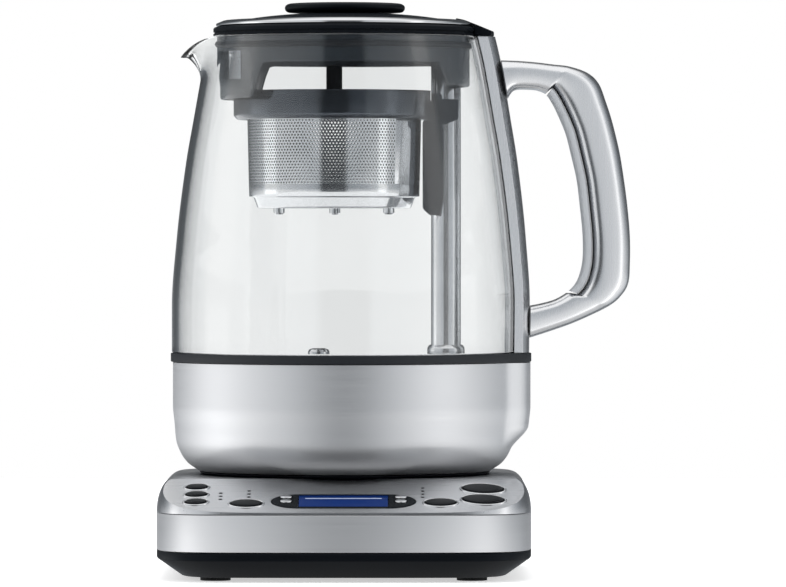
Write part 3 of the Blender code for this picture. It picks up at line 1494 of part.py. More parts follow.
def make_skirt(parent):
    """The lid's inner wall with its ceiling, two pouring windows, and the strainer behind them."""
    top = LID_BOTTOM - GAP
    inner = SKIRT_RADIUS - SKIRT_WALL
    angles = [math.tau * index / ROUND_SEGMENTS for index in range(ROUND_SEGMENTS)]
    rings = [
        [polar(radius, angle, top - skirt_depth(angle) * hanging) for angle in angles]
        for radius, hanging in ((SKIRT_RADIUS, 0), (SKIRT_RADIUS, 1), (inner, 1), (inner, 0))
    ]
    skirt = piece("lid_skirt", loft(rings, closed=True), SLATE_PLASTIC, parent)
    high = top - WINDOW_TOP
    low = high - WINDOW_HEIGHT
    section = (
        (inner - OVERRUN, low),
        (SKIRT_RADIUS + OVERRUN, low),
        (SKIRT_RADIUS + OVERRUN, high),
        (inner - OVERRUN, high),
    )
    windows = [
        arc_solid(section, math.pi + first, math.pi + last, FINE_STEPS // 2)
        for first, last in ((-WINDOW_LAST, -WINDOW_FIRST), (WINDOW_FIRST, WINDOW_LAST))
    ]
    cut(skirt, grouped(windows), parent)
    plate = prism(circle(inner + SKIRT_WALL / 2, ROUND_SEGMENTS), top - LINER_THICKNESS, top - GAP)
    weld(skirt, plate, parent)

    radius = inner - GAP
    margin = STRAINER_MARGIN / radius
    first = math.pi - WINDOW_LAST - margin
    last = math.pi + WINDOW_LAST + margin
    step = (last - first) / STRAINER_COLUMNS
    angles = [first + step * column for column in range(STRAINER_COLUMNS + 1)]
    rows = [(radius, low - STRAINER_MARGIN)]
    rows += [(radius, low + WINDOW_HEIGHT * row / STRAINER_ROWS) for row in range(STRAINER_ROWS + 1)]
    rows.append((radius, high + STRAINER_MARGIN))
    pierced = range(1, STRAINER_ROWS + 1)
    sheet = perforated_sheet(rows, angles, pierced, STRAINER_WEB, 0, False)
    thicken(piece("lid_strainer", sheet, POLISHED_STEEL, parent), STRAINER_WALL)


def make_lid_seal(parent):
    """The soft seal round the skirt."""
    high = LID_BOTTOM - LID_SEAL_DROP
    low = high - LID_SEAL_HEIGHT
    inner = SKIRT_RADIUS + GAP
    outer = inner + LID_SEAL_WIDTH
    profile = ((inner, low), (outer, (low + high) / 2), (inner, high))
    piece("lid_seal", turned(profile), SILICONE, parent)


def empty(name, parent=None, location=(0, 0, 0), tilt=0):
    marker = bpy.data.objects.new(name, None)
    bpy.context.scene.collection.objects.link(marker)
    marker.parent = parent
    marker.location = location
    marker.rotation_euler[0] = tilt
    return marker


def make_base(parent):
    slope = empty("control_slope", parent, slope_origin(), PANEL_SLOPE)
    make_feet(parent)
    make_tub(parent)
    make_inlet(parent)
    make_board(parent)
    make_band(parent)
    make_panel(parent, slope)
    make_seat(parent)
    make_display(slope)
    make_lights(slope)
    make_buttons(slope)


def make_jug(parent):
    make_foot_cap(parent)
    make_bowl(parent)
    make_seal(parent)
    make_heater(parent)
    screw_axis = empty("screw_axis", parent, (POST_X, 0, 0))
    pinion_axis = empty("pinion_axis", parent, (motor_x(), 0, 0))
    make_drive(parent, screw_axis, pinion_axis)
    make_post(parent, empty("nut_slide", parent, (POST_X, 0, 0)))
    make_glass(parent)
    make_column(parent)
    make_handle(parent)


def make_basket(parent):
    make_mesh(parent)
    make_pan(parent)
    make_collar(parent)
    make_bracket(parent)
    make_basket_lid(empty("basket_lid_lift", parent))


def make_lid(parent):
    make_cover(parent)
    make_lid_knob(parent)
    make_trim(parent)
    make_skirt(parent)
    make_lid_seal(parent)


def main():
    clear_scene()
    offset = ((BASE_HALF_WIDTH - handle_reach()) / 2, (BASE_FRONT - BASE_REAR) / 2, 0)
    whole = empty("tea_maker", None, offset)
    make_base(empty("base", whole))
    jug = empty("jug", whole)
    make_jug(jug)
    make_basket(empty("basket", jug))
    make_lid(empty("lid", jug))
    bpy.context.view_layer.update()


main()
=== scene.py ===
"""Dresses the frame of an automatic tea maker with its visible pieces, finishes, lights and camera.

Lengths are in metres unless a name says otherwise, +Z is up and the controls face -Y. The jug's
pieces are turned or lofted about AXIS, and the basket's about its own axis, BASKET_MIDDLE.
"""

import math

import bmesh
import bpy
from bpy.props import FloatProperty, FloatVectorProperty, IntProperty, PointerProperty
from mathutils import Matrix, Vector


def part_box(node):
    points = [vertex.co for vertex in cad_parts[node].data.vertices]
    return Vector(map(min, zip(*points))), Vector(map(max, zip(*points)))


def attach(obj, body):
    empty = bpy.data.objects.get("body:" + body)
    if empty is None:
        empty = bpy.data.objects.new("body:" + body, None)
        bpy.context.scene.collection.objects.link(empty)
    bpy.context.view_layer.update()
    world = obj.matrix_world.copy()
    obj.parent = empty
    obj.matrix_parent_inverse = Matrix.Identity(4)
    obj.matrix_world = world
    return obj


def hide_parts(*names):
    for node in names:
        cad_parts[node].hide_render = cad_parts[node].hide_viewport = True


bl_info = {
    "name": "Tea Maker Dressing",
    "version": (1, 0, 0),
    "blender": (4, 5, 0),
    "location": "3D View > Sidebar > Tea Maker",
    "description": "Builds the glass, steel and plastic pieces of an automatic tea maker on its frame",
    "category": "Add Mesh",
}

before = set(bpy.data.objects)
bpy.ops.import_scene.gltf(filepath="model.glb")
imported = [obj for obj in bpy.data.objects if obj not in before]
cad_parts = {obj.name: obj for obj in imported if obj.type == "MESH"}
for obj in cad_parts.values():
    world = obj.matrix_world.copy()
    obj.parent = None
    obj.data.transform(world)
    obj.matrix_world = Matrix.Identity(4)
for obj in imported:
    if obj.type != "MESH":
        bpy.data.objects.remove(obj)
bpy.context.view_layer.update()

MM = 0.001
FULL_TURN = math.tau


def low_of(node):
    """The lowest height of a node."""
    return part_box(node)[0][2]


def high_of(node):
    """The greatest height of a node."""
    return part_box(node)[1][2]


def middle_of(node):
    """The middle of a node in plan."""
    low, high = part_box(node)
    return Vector(((low[0] + high[0]) / 2, (low[1] + high[1]) / 2, 0))


AXIS = middle_of("jug_foot_cap")
POST_AXIS = middle_of("post_tube")
BASKET_MIDDLE = AXIS + Vector((-5 * MM, 0, 0))

# Facets
ROUND = 144
SMALL_ROUND = 48
SMOOTH_ANGLE = math.radians(35)

# Fits
GAP = 0.3 * MM

# Base
BASE_HALF_WIDTH = 86.5 * MM
BASE_HALF_DEPTH = 98 * MM
BASE_POWER = 6.5
BASE_POINTS = 200
CHAMFER_HEIGHT = 8.4 * MM
CHAMFER_INSET = 11.5 * MM
TUB_WALL = 2.5 * MM
TUB_LIP = 1.6 * MM
BAND_WALL = 1.3 * MM
PANEL_WALL = 2.2 * MM
PANEL_INSET = 7.5 * MM
PANEL_SLOPE = math.radians(18.3)
PANEL_LIP = 0.9 * MM
PANEL_EDGE_STEPS = 14
SEAT_RADIUS = 68 * MM
DISH_WALL = 2 * MM
DISH_BORE = 10.8 * MM
DISH_INSIDE = 66 * MM

# Controls: half length and half height
SMALL_BUTTON = (5.0 * MM, 3.3 * MM)
TYPE_BUTTON = (7.2 * MM, 4.5 * MM)
START_BUTTON = (9.6 * MM, 5.8 * MM)
DISPLAY_KEY = (2.7 * MM, 1.9 * MM)
CAP_PROUD = 1.1 * MM
CAP_DEPTH = 2.6 * MM
LEFT_TURN = math.radians(9)
RIGHT_TURN = math.radians(-9)
BEZEL_FLAT_SHARE = 0.2428
BEZEL_END_SHARE = 0.1387
BEZEL_HALF_HEIGHT = 8.9 * MM
BEZEL_V = 14.7 * MM
BEZEL_PROUD = 0.3 * MM
LENS_SHARE = 0.2347
LENS_HALF_HEIGHT = 7.1 * MM
LENS_THICKNESS = 1.6 * MM
LIGHT_RADIUS = 0.6 * MM
LIGHT_HOLE = 1.0 * MM
LIGHT_PITCH = 4 * MM
LEFT_LIGHTS = ((-0.6497, 17.5 * MM, 3), (-0.5006, 20.4 * MM, 3))
RIGHT_LIGHTS = ((0.4185, 20.2 * MM, 4),)

# Jug
BOWL_RADIUS = 80.8 * MM
BOWL_WALL = 1.2 * MM
BOWL_SHARES = (
    (0.0, 0.849),
    (0.075, 0.915),
    (0.16, 0.953),
    (0.28, 0.981),
    (0.45, 0.991),
    (0.60, 1.0),
    (1.0, 1.0),
)
BOWL_BUMP = 6.4 * MM
BOWL_BUMP_SHARES = (0.2, 0.42)
BUMP_FLAT = math.radians(13)
BUMP_SPAN = math.radians(22)
SEAL_RADIUS = 81.8 * MM
SEAL_BUMP = 5.8 * MM
SEAL_LEDGE = 2.1 * MM
SEAL_LEDGE_WIDTH = 4.5 * MM
GLASS_RADIUS = 81.3 * MM
GLASS_WALL = 3 * MM
GLASS_SHARES = (
    (0.0, 1.0),
    (0.145, 1.0),
    (0.36, 0.972),
    (0.60, 0.918),
    (0.736, 0.875),
    (0.905, 0.819),
    (0.95, 0.801),
    (1.0, 0.778),
)
SPOUT_REACH = 15.6 * MM
SPOUT_DROP = 8.6 * MM
SPOUT_LIP_RISE = 1.7 * MM
SPOUT_HOOK = 2.8 * MM
SPOUT_HOOK_START = 0.72
SPOUT_POINT_BLUNTING = 0.09
SPOUT_POINT_SPAN_SHARE = 0.18
SPOUT_START_SHARE = 0.86
SPOUT_HALF_SPAN = math.radians(27)
SPOUT_POINT_POWER = 1.35
SPOUT_REACH_POWER = 1.55
SPOUT_DROP_POWER = 1.5
SPOUT_ARCH_POWER = 1.8
POST_RADIUS = 7 * MM

# Column and handle
COLUMN_DEPTHS = (5.2 * MM, 7.3 * MM)
COLUMN_HALF_WIDTHS = (19.5 * MM, 13 * MM)
COLUMN_EDGE_SHARE = 0.45
HANDLE_RISE = 6.8 * MM
HANDLE_HEIGHT = 130.2 * MM
HANDLE_DEPTH = 48.5 * MM
HANDLE_WIDTH = 25 * MM
HANDLE_POWER = 3.6
LINER_DEPTH = 4.2 * MM
LINER_STATIONS = (3.92, 16.08)
# Each station: outer reach and height, inner reach and height, as shares of the depth and height.
HANDLE_SHARES = (
    (0.0, 1.0, 0.0, 0.863),
    (0.152, 0.998, 0.08, 0.892),
    (0.325, 0.993, 0.236, 0.894),
    (0.498, 0.985, 0.316, 0.889),
    (0.646, 0.978, 0.382, 0.875),
    (0.811, 0.955, 0.424, 0.844),
    (0.903, 0.916, 0.458, 0.807),
    (0.943, 0.85, 0.489, 0.764),
    (0.973, 0.779, 0.509, 0.726),
    (0.994, 0.677, 0.527, 0.651),
    (1.003, 0.569, 0.548, 0.569),
    (1.006, 0.461, 0.549, 0.472),
    (1.001, 0.353, 0.549, 0.368),
    (0.981, 0.266, 0.533, 0.291),
    (0.955, 0.2, 0.501, 0.241),
    (0.891, 0.157, 0.452, 0.2),
    (0.759, 0.114, 0.373, 0.168),
    (0.46, 0.06, 0.245, 0.139),
    (0.23, 0.028, 0.109, 0.124),
    (0.0, 0.0, 0.0, 0.116),
)

# Basket
MESH_RADII = (40 * MM, 41 * MM)
MESH_WALL = 0.6 * MM
MESH_BAND = 5.6 * MM
MESH_HOLES_HEIGHT = 30.4 * MM
COLLAR_RADIUS = 47.3 * MM
COLLAR_BORE = 41.6 * MM
PAN_RADII = (36 * MM, 38 * MM)
PAN_WALL = 1.2 * MM
PAN_LIP = 3.2 * MM
PAN_LUG_RADIUS = 2.6 * MM
KNOB_RADIUS = 3.75 * MM
BRACKET_FACE = 7.5 * MM
BRACKET_WALL = 2.6 * MM
BRACKET_REACH = 5.2 * MM
BRACKET_TAB_REACH = 13 * MM
BRACKET_TAB_HEIGHT = 9.5 * MM

# Lid
LID_RADIUS = 61.8 * MM
LID_WALL = 2.6 * MM
LID_RIM_HEIGHT = 3.8 * MM
LID_SHOULDER_SHARE = 0.913
LID_SHOULDER_RISE = 2.2 * MM
LID_BORE = 8 * MM
LID_KNOB_RADIUS = 28.2 * MM
TRIM_WIDTH = 3.8 * MM
TRIM_THICKNESS = 1.1 * MM
TAB_HALF_SPAN = math.radians(12.5)
TAB_OVERLAP = 8.5 * MM
TAB_THICKNESS = 1.6 * MM
TAB_NOSE = 2.1 * MM
SKIRT_RADIUS = 58.6 * MM
SKIRT_WALL = 1.8 * MM
SKIRT_SHALLOW = 12.9 * MM
SKIRT_DEEP = 29.5 * MM
SKIRT_RIGHT = 23.5 * MM
SKIRT_DEEP_SPAN = math.radians(42)
SKIRT_RIGHT_SPAN = math.radians(34)
SKIRT_EDGE_SPAN = math.radians(9)
WINDOW_TOP = 7.5 * MM
WINDOW_HEIGHT = 13 * MM
WINDOW_ANGLES = (math.radians(13), math.radians(36))
STRAINER_WALL = 0.6 * MM
STRAINER_MARGIN = 1.5 * MM

# Levels, read from the frame
BAND_BOTTOM = low_of("base_steel_band")
BAND_TOP = high_of("base_steel_band")
PANEL_RIM = low_of("base_top_panel")
PANEL_TOP = high_of("base_top_panel")
BASE_MIDDLE = middle_of("base_steel_band")
BOWL_BOTTOM = low_of("steel_bowl")
BOWL_TOP = high_of("steel_bowl")
GLASS_BOTTOM = low_of("glass_jug")
GLASS_TOP = high_of("glass_jug")
GLASS_HEIGHT = GLASS_TOP - GLASS_BOTTOM
COLLAR_BOTTOM = low_of("basket_collar")
COLLAR_TOP = high_of("basket_collar")
MESH_BOTTOM = low_of("basket_mesh")
MESH_TOP = high_of("basket_mesh")
PAN_BOTTOM = MESH_BOTTOM - GAP - 5.2 * MM
LID_BOTTOM = low_of("lid_cover")
LID_TOP = LID_BOTTOM + 10.9 * MM
LID_DOME_POWER = 2.5
SLOPE_ORIGIN = BASE_MIDDLE + Vector((0, -BASE_HALF_DEPTH, PANEL_RIM + PANEL_LIP))
SLOPE_NORMAL = Vector((0, -math.sin(PANEL_SLOPE), math.cos(PANEL_SLOPE)))
SLOPE_UP = Vector((0, math.cos(PANEL_SLOPE), math.sin(PANEL_SLOPE)))


def linear(text):
    """An sRGB hex colour as the linear values that Blender's sockets hold."""
    values = [int(text[start : start + 2], 16) / 255 for start in (1, 3, 5)]
    return tuple(v / 12.92 if v <= 0.04045 else ((v + 0.055) / 1.055) ** 2.4 for v in values)


def colour_property(name, description, text):
    """A colour that a user can change."""
    return FloatVectorProperty(
        name=name, description=description, subtype="COLOR", size=3, min=0, max=1, default=linear(text)
    )


class TeaMakerColours(bpy.types.PropertyGroup):
    """The colours of the finishes"""

    steel: colour_property("Steel", "Stainless steel of the bowl, band, column and handle", "#E4E5E7")
    bright_steel: colour_property("Bright Steel", "Polished steel of the post, basket and trim", "#DADBDD")
    slate: colour_property("Slate", "Grey plastic of the lid, collar, slide and bezel", "#15181C")
    black: colour_property("Black", "Black plastic of the tub, seat, seal and knobs", "#0B0E12")
    pale: colour_property("Pale", "Pale plastic inside the handle and behind the lights", "#C3C6CA")
    display: colour_property("Display", "Lit field of the display", "#0F2B66")
    glass: colour_property("Glass", "Tint of the jug's glass", "#F6F7F7")
    smoke: colour_property("Smoke", "Tint of the lid's translucent skirt", "#353C43")


class TeaMakerSizes(bpy.types.PropertyGroup):
    """The sizes of the details that the frame leaves to the dressing"""

    edge: FloatProperty(
        name="Edge", description="Radius of moulded and pressed edges",
        unit="LENGTH", default=0.6 * MM, min=0.1 * MM
    )
    rim: FloatProperty(
        name="Rim", description="Width of the bright rim round each button",
        unit="LENGTH", default=1.0 * MM, min=0.2 * MM
    )
    hole: FloatProperty(
        name="Hole", description="Radius of the basket's holes", unit="LENGTH", default=0.5 * MM, min=0.2 * MM
    )
    hole_rows: IntProperty(
        name="Hole Rows", description="Rows of holes up the basket", default=22, min=4, max=24
    )
    hole_columns: IntProperty(
        name="Hole Columns", description="Columns of holes round three quarters of the basket",
        default=120, min=20, max=140
    )


class TeaMakerStage(bpy.types.PropertyGroup):
    """The room that the tea maker is shown in"""

    floor: colour_property("Floor", "Floor and background", "#FFFFFF")
    key_power: FloatProperty(
        name="Key Power", description="Power of the large lamp on the left", unit="POWER", default=5.5, min=0
    )
    fill_power: FloatProperty(
        name="Fill Power", description="Power of the large lamp on the right", unit="POWER", default=3, min=0
    )
    top_power: FloatProperty(
        name="Top Power", description="Power of the lamp above", unit="POWER", default=5, min=0
    )
    lens: FloatProperty(
        name="Lens", description="Focal length of the camera", unit="CAMERA", default=306.9, min=20
    )


def add_node(tree, kind, inputs=None, **settings):
    """Adds a node. An input given as a node or a socket is linked, and any other is set."""
    node = tree.nodes.new(kind)
    for name, value in settings.items():
        setattr(node, name, value)
    for name, value in (inputs or {}).items():
        if isinstance(value, bpy.types.Node):
            value = value.outputs[0]
        if isinstance(value, bpy.types.NodeSocket):
            tree.links.new(value, node.inputs[name])
        else:
            node.inputs[name].default_value = value
    return node


def opaque(colour):
    return (*colour, 1.0)


def shaded(colour, share):
    """A colour made darker or lighter by a share."""
    return opaque(tuple(min(value * share, 1) for value in colour))


def surface(name, colour, roughness, grain, spread=0.08, contrast=0.05, relief=0.0, **sockets):
    """A finish with a grain, given in millimetres along X, Y and Z, that varies its roughness, its shade
    and its relief, in millimetres. Further values go to the shader's own sockets."""
    if name in bpy.data.materials:
        return bpy.data.materials[name]
    finish = bpy.data.materials.new(name)
    finish.use_nodes = True
    tree = finish.node_tree
    tree.nodes.clear()
    place = add_node(tree, "ShaderNodeTexCoord")
    scale = tuple(1 / (size * MM) for size in grain)
    grid = add_node(tree, "ShaderNodeMapping", {"Vector": place.outputs["Object"], "Scale": scale})
    noise = add_node(tree, "ShaderNodeTexNoise", {"Vector": grid, "Scale": 1.0, "Detail": 2.0})
    rough = add_node(
        tree,
        "ShaderNodeMapRange",
        {
            "Value": noise, "From Min": 0.3, "From Max": 0.7, "To Min": roughness - spread / 2,
            "To Max": roughness + spread / 2
        },
    )
    shade = add_node(
        tree,
        "ShaderNodeMix",
        {0: noise, 6: shaded(colour, 1 - contrast), 7: shaded(colour, 1 + contrast)},
        data_type="RGBA",
    )
    shader = add_node(
        tree,
        "ShaderNodeBsdfPrincipled",
        {
            "Base Color": shade.outputs[2], "Roughness": rough,
            **{key.replace("_", " "): value for key, value in sockets.items()}
        },
    )
    if relief:
        bump = add_node(tree, "ShaderNodeBump", {"Height": noise, "Distance": relief * MM, "Strength": 1.0})
        tree.links.new(bump.outputs[0], shader.inputs["Normal"])
    output = add_node(tree, "ShaderNodeOutputMaterial", {"Surface": shader})
    output.location = (400, 0)
    finish.diffuse_color = opaque(colour)
    return finish


def swept(finish, direction):
    """Stretches a steel's highlights across its brush marks, which run round an axis."""
    tree = finish.node_tree
    shader = next(node for node in tree.nodes if node.type == "BSDF_PRINCIPLED")
    if not shader.inputs["Tangent"].is_linked:
        tangent = add_node(tree, "ShaderNodeTangent", direction_type="RADIAL", axis=direction)
        tree.links.new(tangent.outputs[0], shader.inputs["Tangent"])
    return finish


def colours():
    return bpy.context.scene.tea_maker_colours


def sizes():
    return bpy.context.scene.tea_maker_sizes


# Painted shade on the bowl: how far up from its lower edge its colour is darkened, and the share of its
# colour left at that edge
BOWL_PAINTED_SHADE_HEIGHT = 17 * MM
BOWL_PAINTED_SHADE_LEAST = 0.45


def painted_shade_below(finish, low, high, least):
    """Paints shade into a steel's colour towards its lower edge, where it turns under and only sees what it
    stands on.
    """
    tree = finish.node_tree
    shader = next(node for node in tree.nodes if node.type == "BSDF_PRINCIPLED")
    place = next(node for node in tree.nodes if node.type == "TEX_COORD")
    parts = add_node(tree, "ShaderNodeSeparateXYZ", {"Vector": place.outputs["Object"]})
    share = add_node(
        tree,
        "ShaderNodeMapRange",
        {"Value": parts.outputs["Z"], "From Min": low, "From Max": high, "To Min": least, "To Max": 1.0},
        interpolation_type="SMOOTHSTEP",
    )
    shade = shader.inputs["Base Color"].links[0].from_socket
    # painted shade: the colour is blended towards black near the lower edge
    deep = add_node(
        tree, "ShaderNodeMix", {0: share, 6: opaque((0.0, 0.0, 0.0)), 7: shade}, data_type="RGBA"
    )
    tree.links.new(deep.outputs[2], shader.inputs["Base Color"])
    return finish


def steel_turned():
    """18/8 stainless steel, brushed on a lathe: fine rings that blur reflections up and down. Real
    marks are 0.05 mm apart; they are drawn 0.5 mm apart, so that they show."""
    finish = surface(
        "Stainless Steel Brushed Round",
        colours().steel,
        0.47,
        (40, 40, 0.5),
        spread=0.05,
        contrast=0.02,
        relief=0.001,
        Metallic=1.0,
        Anisotropic=0.25,
    )
    # painted shade: the bowl's colour is darkened towards its foot
    painted_shade_below(finish, BOWL_BOTTOM, BOWL_BOTTOM + BOWL_PAINTED_SHADE_HEIGHT, BOWL_PAINTED_SHADE_LEAST)
    return swept(finish, "Z")


def steel_long():
    """18/8 stainless steel sheet, brushed along its width: level streaks and a soft sheen. The marks
    are drawn 0.5 mm apart for the same reason."""
    return surface(
        "Stainless Steel Brushed Along",
        colours().steel,
        0.30,
        (60, 0.5, 0.5),
        spread=0.06,
        contrast=0.025,
        relief=0.0012,
        Metallic=1.0,
    )


def crowned(finish, turn, lean=0.0):
    """Bows a steel's shade about the base's middle: a strip that is pressed over a form is never
    quite flat, and its light runs from bright ends to a darker middle. The turn is that at the end,
    and the lean is the same all over."""
    tree = finish.node_tree
    shader = next(node for node in tree.nodes if node.type == "BSDF_PRINCIPLED")
    bump = next(node for node in tree.nodes if node.type == "BUMP")
    place = next(node for node in tree.nodes if node.type == "TEX_COORD")
    parts = add_node(tree, "ShaderNodeSeparateXYZ", {"Vector": place.outputs["Object"]})
    out = add_node(tree, "ShaderNodeMath", {0: parts.outputs["X"], 1: BASE_MIDDLE.x}, operation="SUBTRACT")
    bow = math.tan(turn) / BASE_HALF_WIDTH
    turned_out = add_node(
        tree, "ShaderNodeMath", {0: out, 1: bow, 2: math.tan(lean)}, operation="MULTIPLY_ADD"
    )
    side = add_node(tree, "ShaderNodeCombineXYZ", {"X": turned_out})
    total = add_node(tree, "ShaderNodeVectorMath", {0: place.outputs["Normal"], 1: side}, operation="ADD")
    tree.links.new(
        add_node(tree, "ShaderNodeVectorMath", {0: total}, operation="NORMALIZE").outputs[0],
        bump.inputs["Normal"]
    )
    tree.links.new(bump.outputs[0], shader.inputs["Normal"])
    return finish


def steel_upright():
    """18/8 stainless steel, brushed along its height: the satin of the column and the handle, whose
    pressed faces lean out a little and so catch the light at the side."""
    name = "Stainless Steel Satin"
    if name in bpy.data.materials:
        return bpy.data.materials[name]
    finish = surface(
        name,
        colours().steel,
        0.26,
        (0.7, 0.7, 40),
        spread=0.05,
        contrast=0.02,
        relief=0.001,
        Metallic=1.0,
    )
    return crowned(finish, 0.0, math.radians(20))


def steel_polished():
    """18/8 stainless steel, electropolished: clear reflections with a faint waviness of the sheet."""
    return surface(
        "Stainless Steel Polished",
        colours().bright_steel,
        0.11,
        (9, 9, 9),
        spread=0.05,
        contrast=0.02,
        relief=0.01,
        Metallic=1.0,
    )


# the grey plastic's gleam is a little blue
SLATE_GLEAM = (0.78, 0.87, 1.0)


def plastic_slate():
    """ABS, moulded in a polished tool and coloured grey: an even sheen, a little softer than gloss."""
    return surface(
        "ABS Slate Gloss", colours().slate, 0.13, (8, 8, 8), spread=0.04, contrast=0.03, relief=0.001,
        IOR=1.53,
        Specular_IOR_Level=1.0, Specular_Tint=opaque(SLATE_GLEAM),
    )


def plastic_slate_satin():
    """The same ABS, moulded in a finely blasted tool: the lid's dome, which hardly gleams."""
    return surface(
        "ABS Slate Satin", colours().slate, 0.26, (0.6, 0.6, 0.6), spread=0.05, contrast=0.05, relief=0.003,
        IOR=1.53,
        Specular_IOR_Level=0.03,
    )


def steel_perforated():
    """18/8 stainless steel, etched through and left as etched: greyer and a little duller than the
    polished sheet round it."""
    return surface(
        "Stainless Steel Perforated", linear("#D9DBDD"), 0.10, (5, 5, 5),
        spread=0.03, contrast=0.03, Metallic=1.0
    )


def lens_smoked():
    """Acrylic, smoked: the unlit dots, which read as small dark holes."""
    return surface("Acrylic Smoked", linear("#1C1F22"), 0.2, (1, 1, 1), contrast=0.05, IOR=1.49)


def plastic_black():
    """ABS, moulded in a spark-eroded tool: a fine matt grain. The 0.1 mm grain is drawn at 0.5 mm."""
    return surface(
        "ABS Black Satin", colours().black, 0.42, (0.5, 0.5, 0.5), spread=0.10, contrast=0.08, relief=0.012,
        IOR=1.53,
        Specular_IOR_Level=0.12, Specular_Tint=opaque(SLATE_GLEAM),
    )


def plastic_gloss():
    """Polycarbonate, moulded in a mirror tool: the black button caps, which reflect the room."""
    return surface(
        "Polycarbonate Black Gloss", linear("#0B0D10"), 0.16, (3, 3, 3), spread=0.04, contrast=0.04, IOR=1.58,
        Specular_IOR_Level=0.06, Specular_Tint=opaque(SLATE_GLEAM),
    )


def plastic_pale():
    """Polypropylene, moulded and left its own pale grey: soft and slightly milky."""
    return surface(
        "Polypropylene Pale", colours().pale, 0.38, (
            0.8, 0.8, 0.8
        ), spread=0.08, contrast=0.03, relief=0.006, IOR=1.49
    )


def silicone_black():
    """Silicone rubber, pressed: a dull seal with a dusty sheen."""
    return surface(
        "Silicone Rubber", linear("#1B1F24"), 0.55, (0.9, 0.9, 0.9), contrast=0.06, relief=0.01, IOR=1.43
    )


def rubber_black():
    """Nitrile rubber, pressed: matt and grainy, so that the feet grip."""
    return surface(
        "Nitrile Rubber", linear("#191A1B"), 0.85, (0.6, 0.6, 0.6), contrast=0.10, relief=0.03, IOR=1.52
    )


def nylon_natural():
    """Nylon 6, injection moulded: ivory, waxy and slightly translucent."""
    return surface(
        "Nylon Natural", linear("#E3E0D3"), 0.42, (1.5, 1.5, 1.5), contrast=0.04, relief=0.006, IOR=1.53,
        Subsurface_Weight=0.15, Subsurface_Scale=0.002,
    )


def brass_cut():
    """Brass, hobbed and deburred: warm yellow with faint tool marks."""
    return surface(
        "Brass Machined", linear("#CDAA63"), 0.28, (0.4, 0.4, 3), contrast=0.08, relief=0.006, Metallic=1.0
    )


def steel_zinc():
    """Mild steel, zinc plated: a cool grey spangle of crystals 2 mm across."""
    return surface("Mild Steel Zinc Plated", linear("#A9ADB2"), 0.38, (2, 2, 2), contrast=0.12, Metallic=1.0)


def ferrite_ground():
    """Ferrite, sintered and ground: charcoal grey, dull and finely pitted."""
    return surface(
        "Ferrite Ground", linear("#4B4B4D"), 0.5, (0.4, 0.4, 0.4), contrast=0.15, relief=0.02, IOR=2.0
    )


def board_mask():
    """Glass-fibre laminate under green solder mask: glossy, with the weave of the cloth 0.5 mm apart."""
    return surface(
        "Fibreglass Board Green", linear("#1F5B35"), 0.3, (0.5, 0.5, 8), contrast=0.10, relief=0.01, IOR=1.5
    )


def element_sheath():
    """Incoloy tube, annealed: a dull sheath with the straw tint of heat."""
    return surface(
        "Incoloy Sheath", linear("#8F8779"), 0.45, (3, 3, 3), contrast=0.15, relief=0.01, Metallic=1.0
    )


def clear_shell(name, tint, roughness, weight, grain, spread, gleam):
    """A transmitting finish that lets light through to what stands inside without dark caustics."""
    if name in bpy.data.materials:
        return bpy.data.materials[name]
    finish = surface(
        name, tint, roughness, grain, spread=spread, contrast=0.01, IOR=1.47, Transmission_Weight=weight,
        Specular_IOR_Level=gleam,
    )
    tree = finish.node_tree
    shader = next(node for node in tree.nodes if node.type == "BSDF_PRINCIPLED")
    output = next(node for node in tree.nodes if node.type == "OUTPUT_MATERIAL")
    path = add_node(tree, "ShaderNodeLightPath")
    either = add_node(
        tree,
        "ShaderNodeMath",
        {0: path.outputs["Is Shadow Ray"], 1: path.outputs["Is Diffuse Ray"]},
        operation="MAXIMUM",
    )
    passing = add_node(tree, "ShaderNodeBsdfTransparent", {"Color": shaded(tint, weight)})
    mixed = add_node(tree, "ShaderNodeMixShader", {0: either, 1: shader, 2: passing})
    tree.links.new(mixed.outputs[0], output.inputs["Surface"])
    return finish


def glass_clear():
    """Borosilicate glass, blown in a mould: clear, with a waviness that only its edge shows."""
    return clear_shell("Borosilicate Glass", colours().glass, 0.005, 1.0, (30, 30, 30), 0.0, 0.12)


def plastic_smoke():
    """Copolyester, moulded and tinted: smoky, so that the jug shows dimly through the skirt."""
    return clear_shell("Copolyester Smoke", colours().smoke, 0.14, 0.4, (4, 4, 4), 0.05, 0.8)


# Middle and half height of the display's line up the lens, and the same across it
DISPLAY_LINE_SHARES = (0.72, 0.03)
DISPLAY_LINE_SPAN_SHARES = (0.5, 0.43)
DISPLAY_GLOW = 0.06


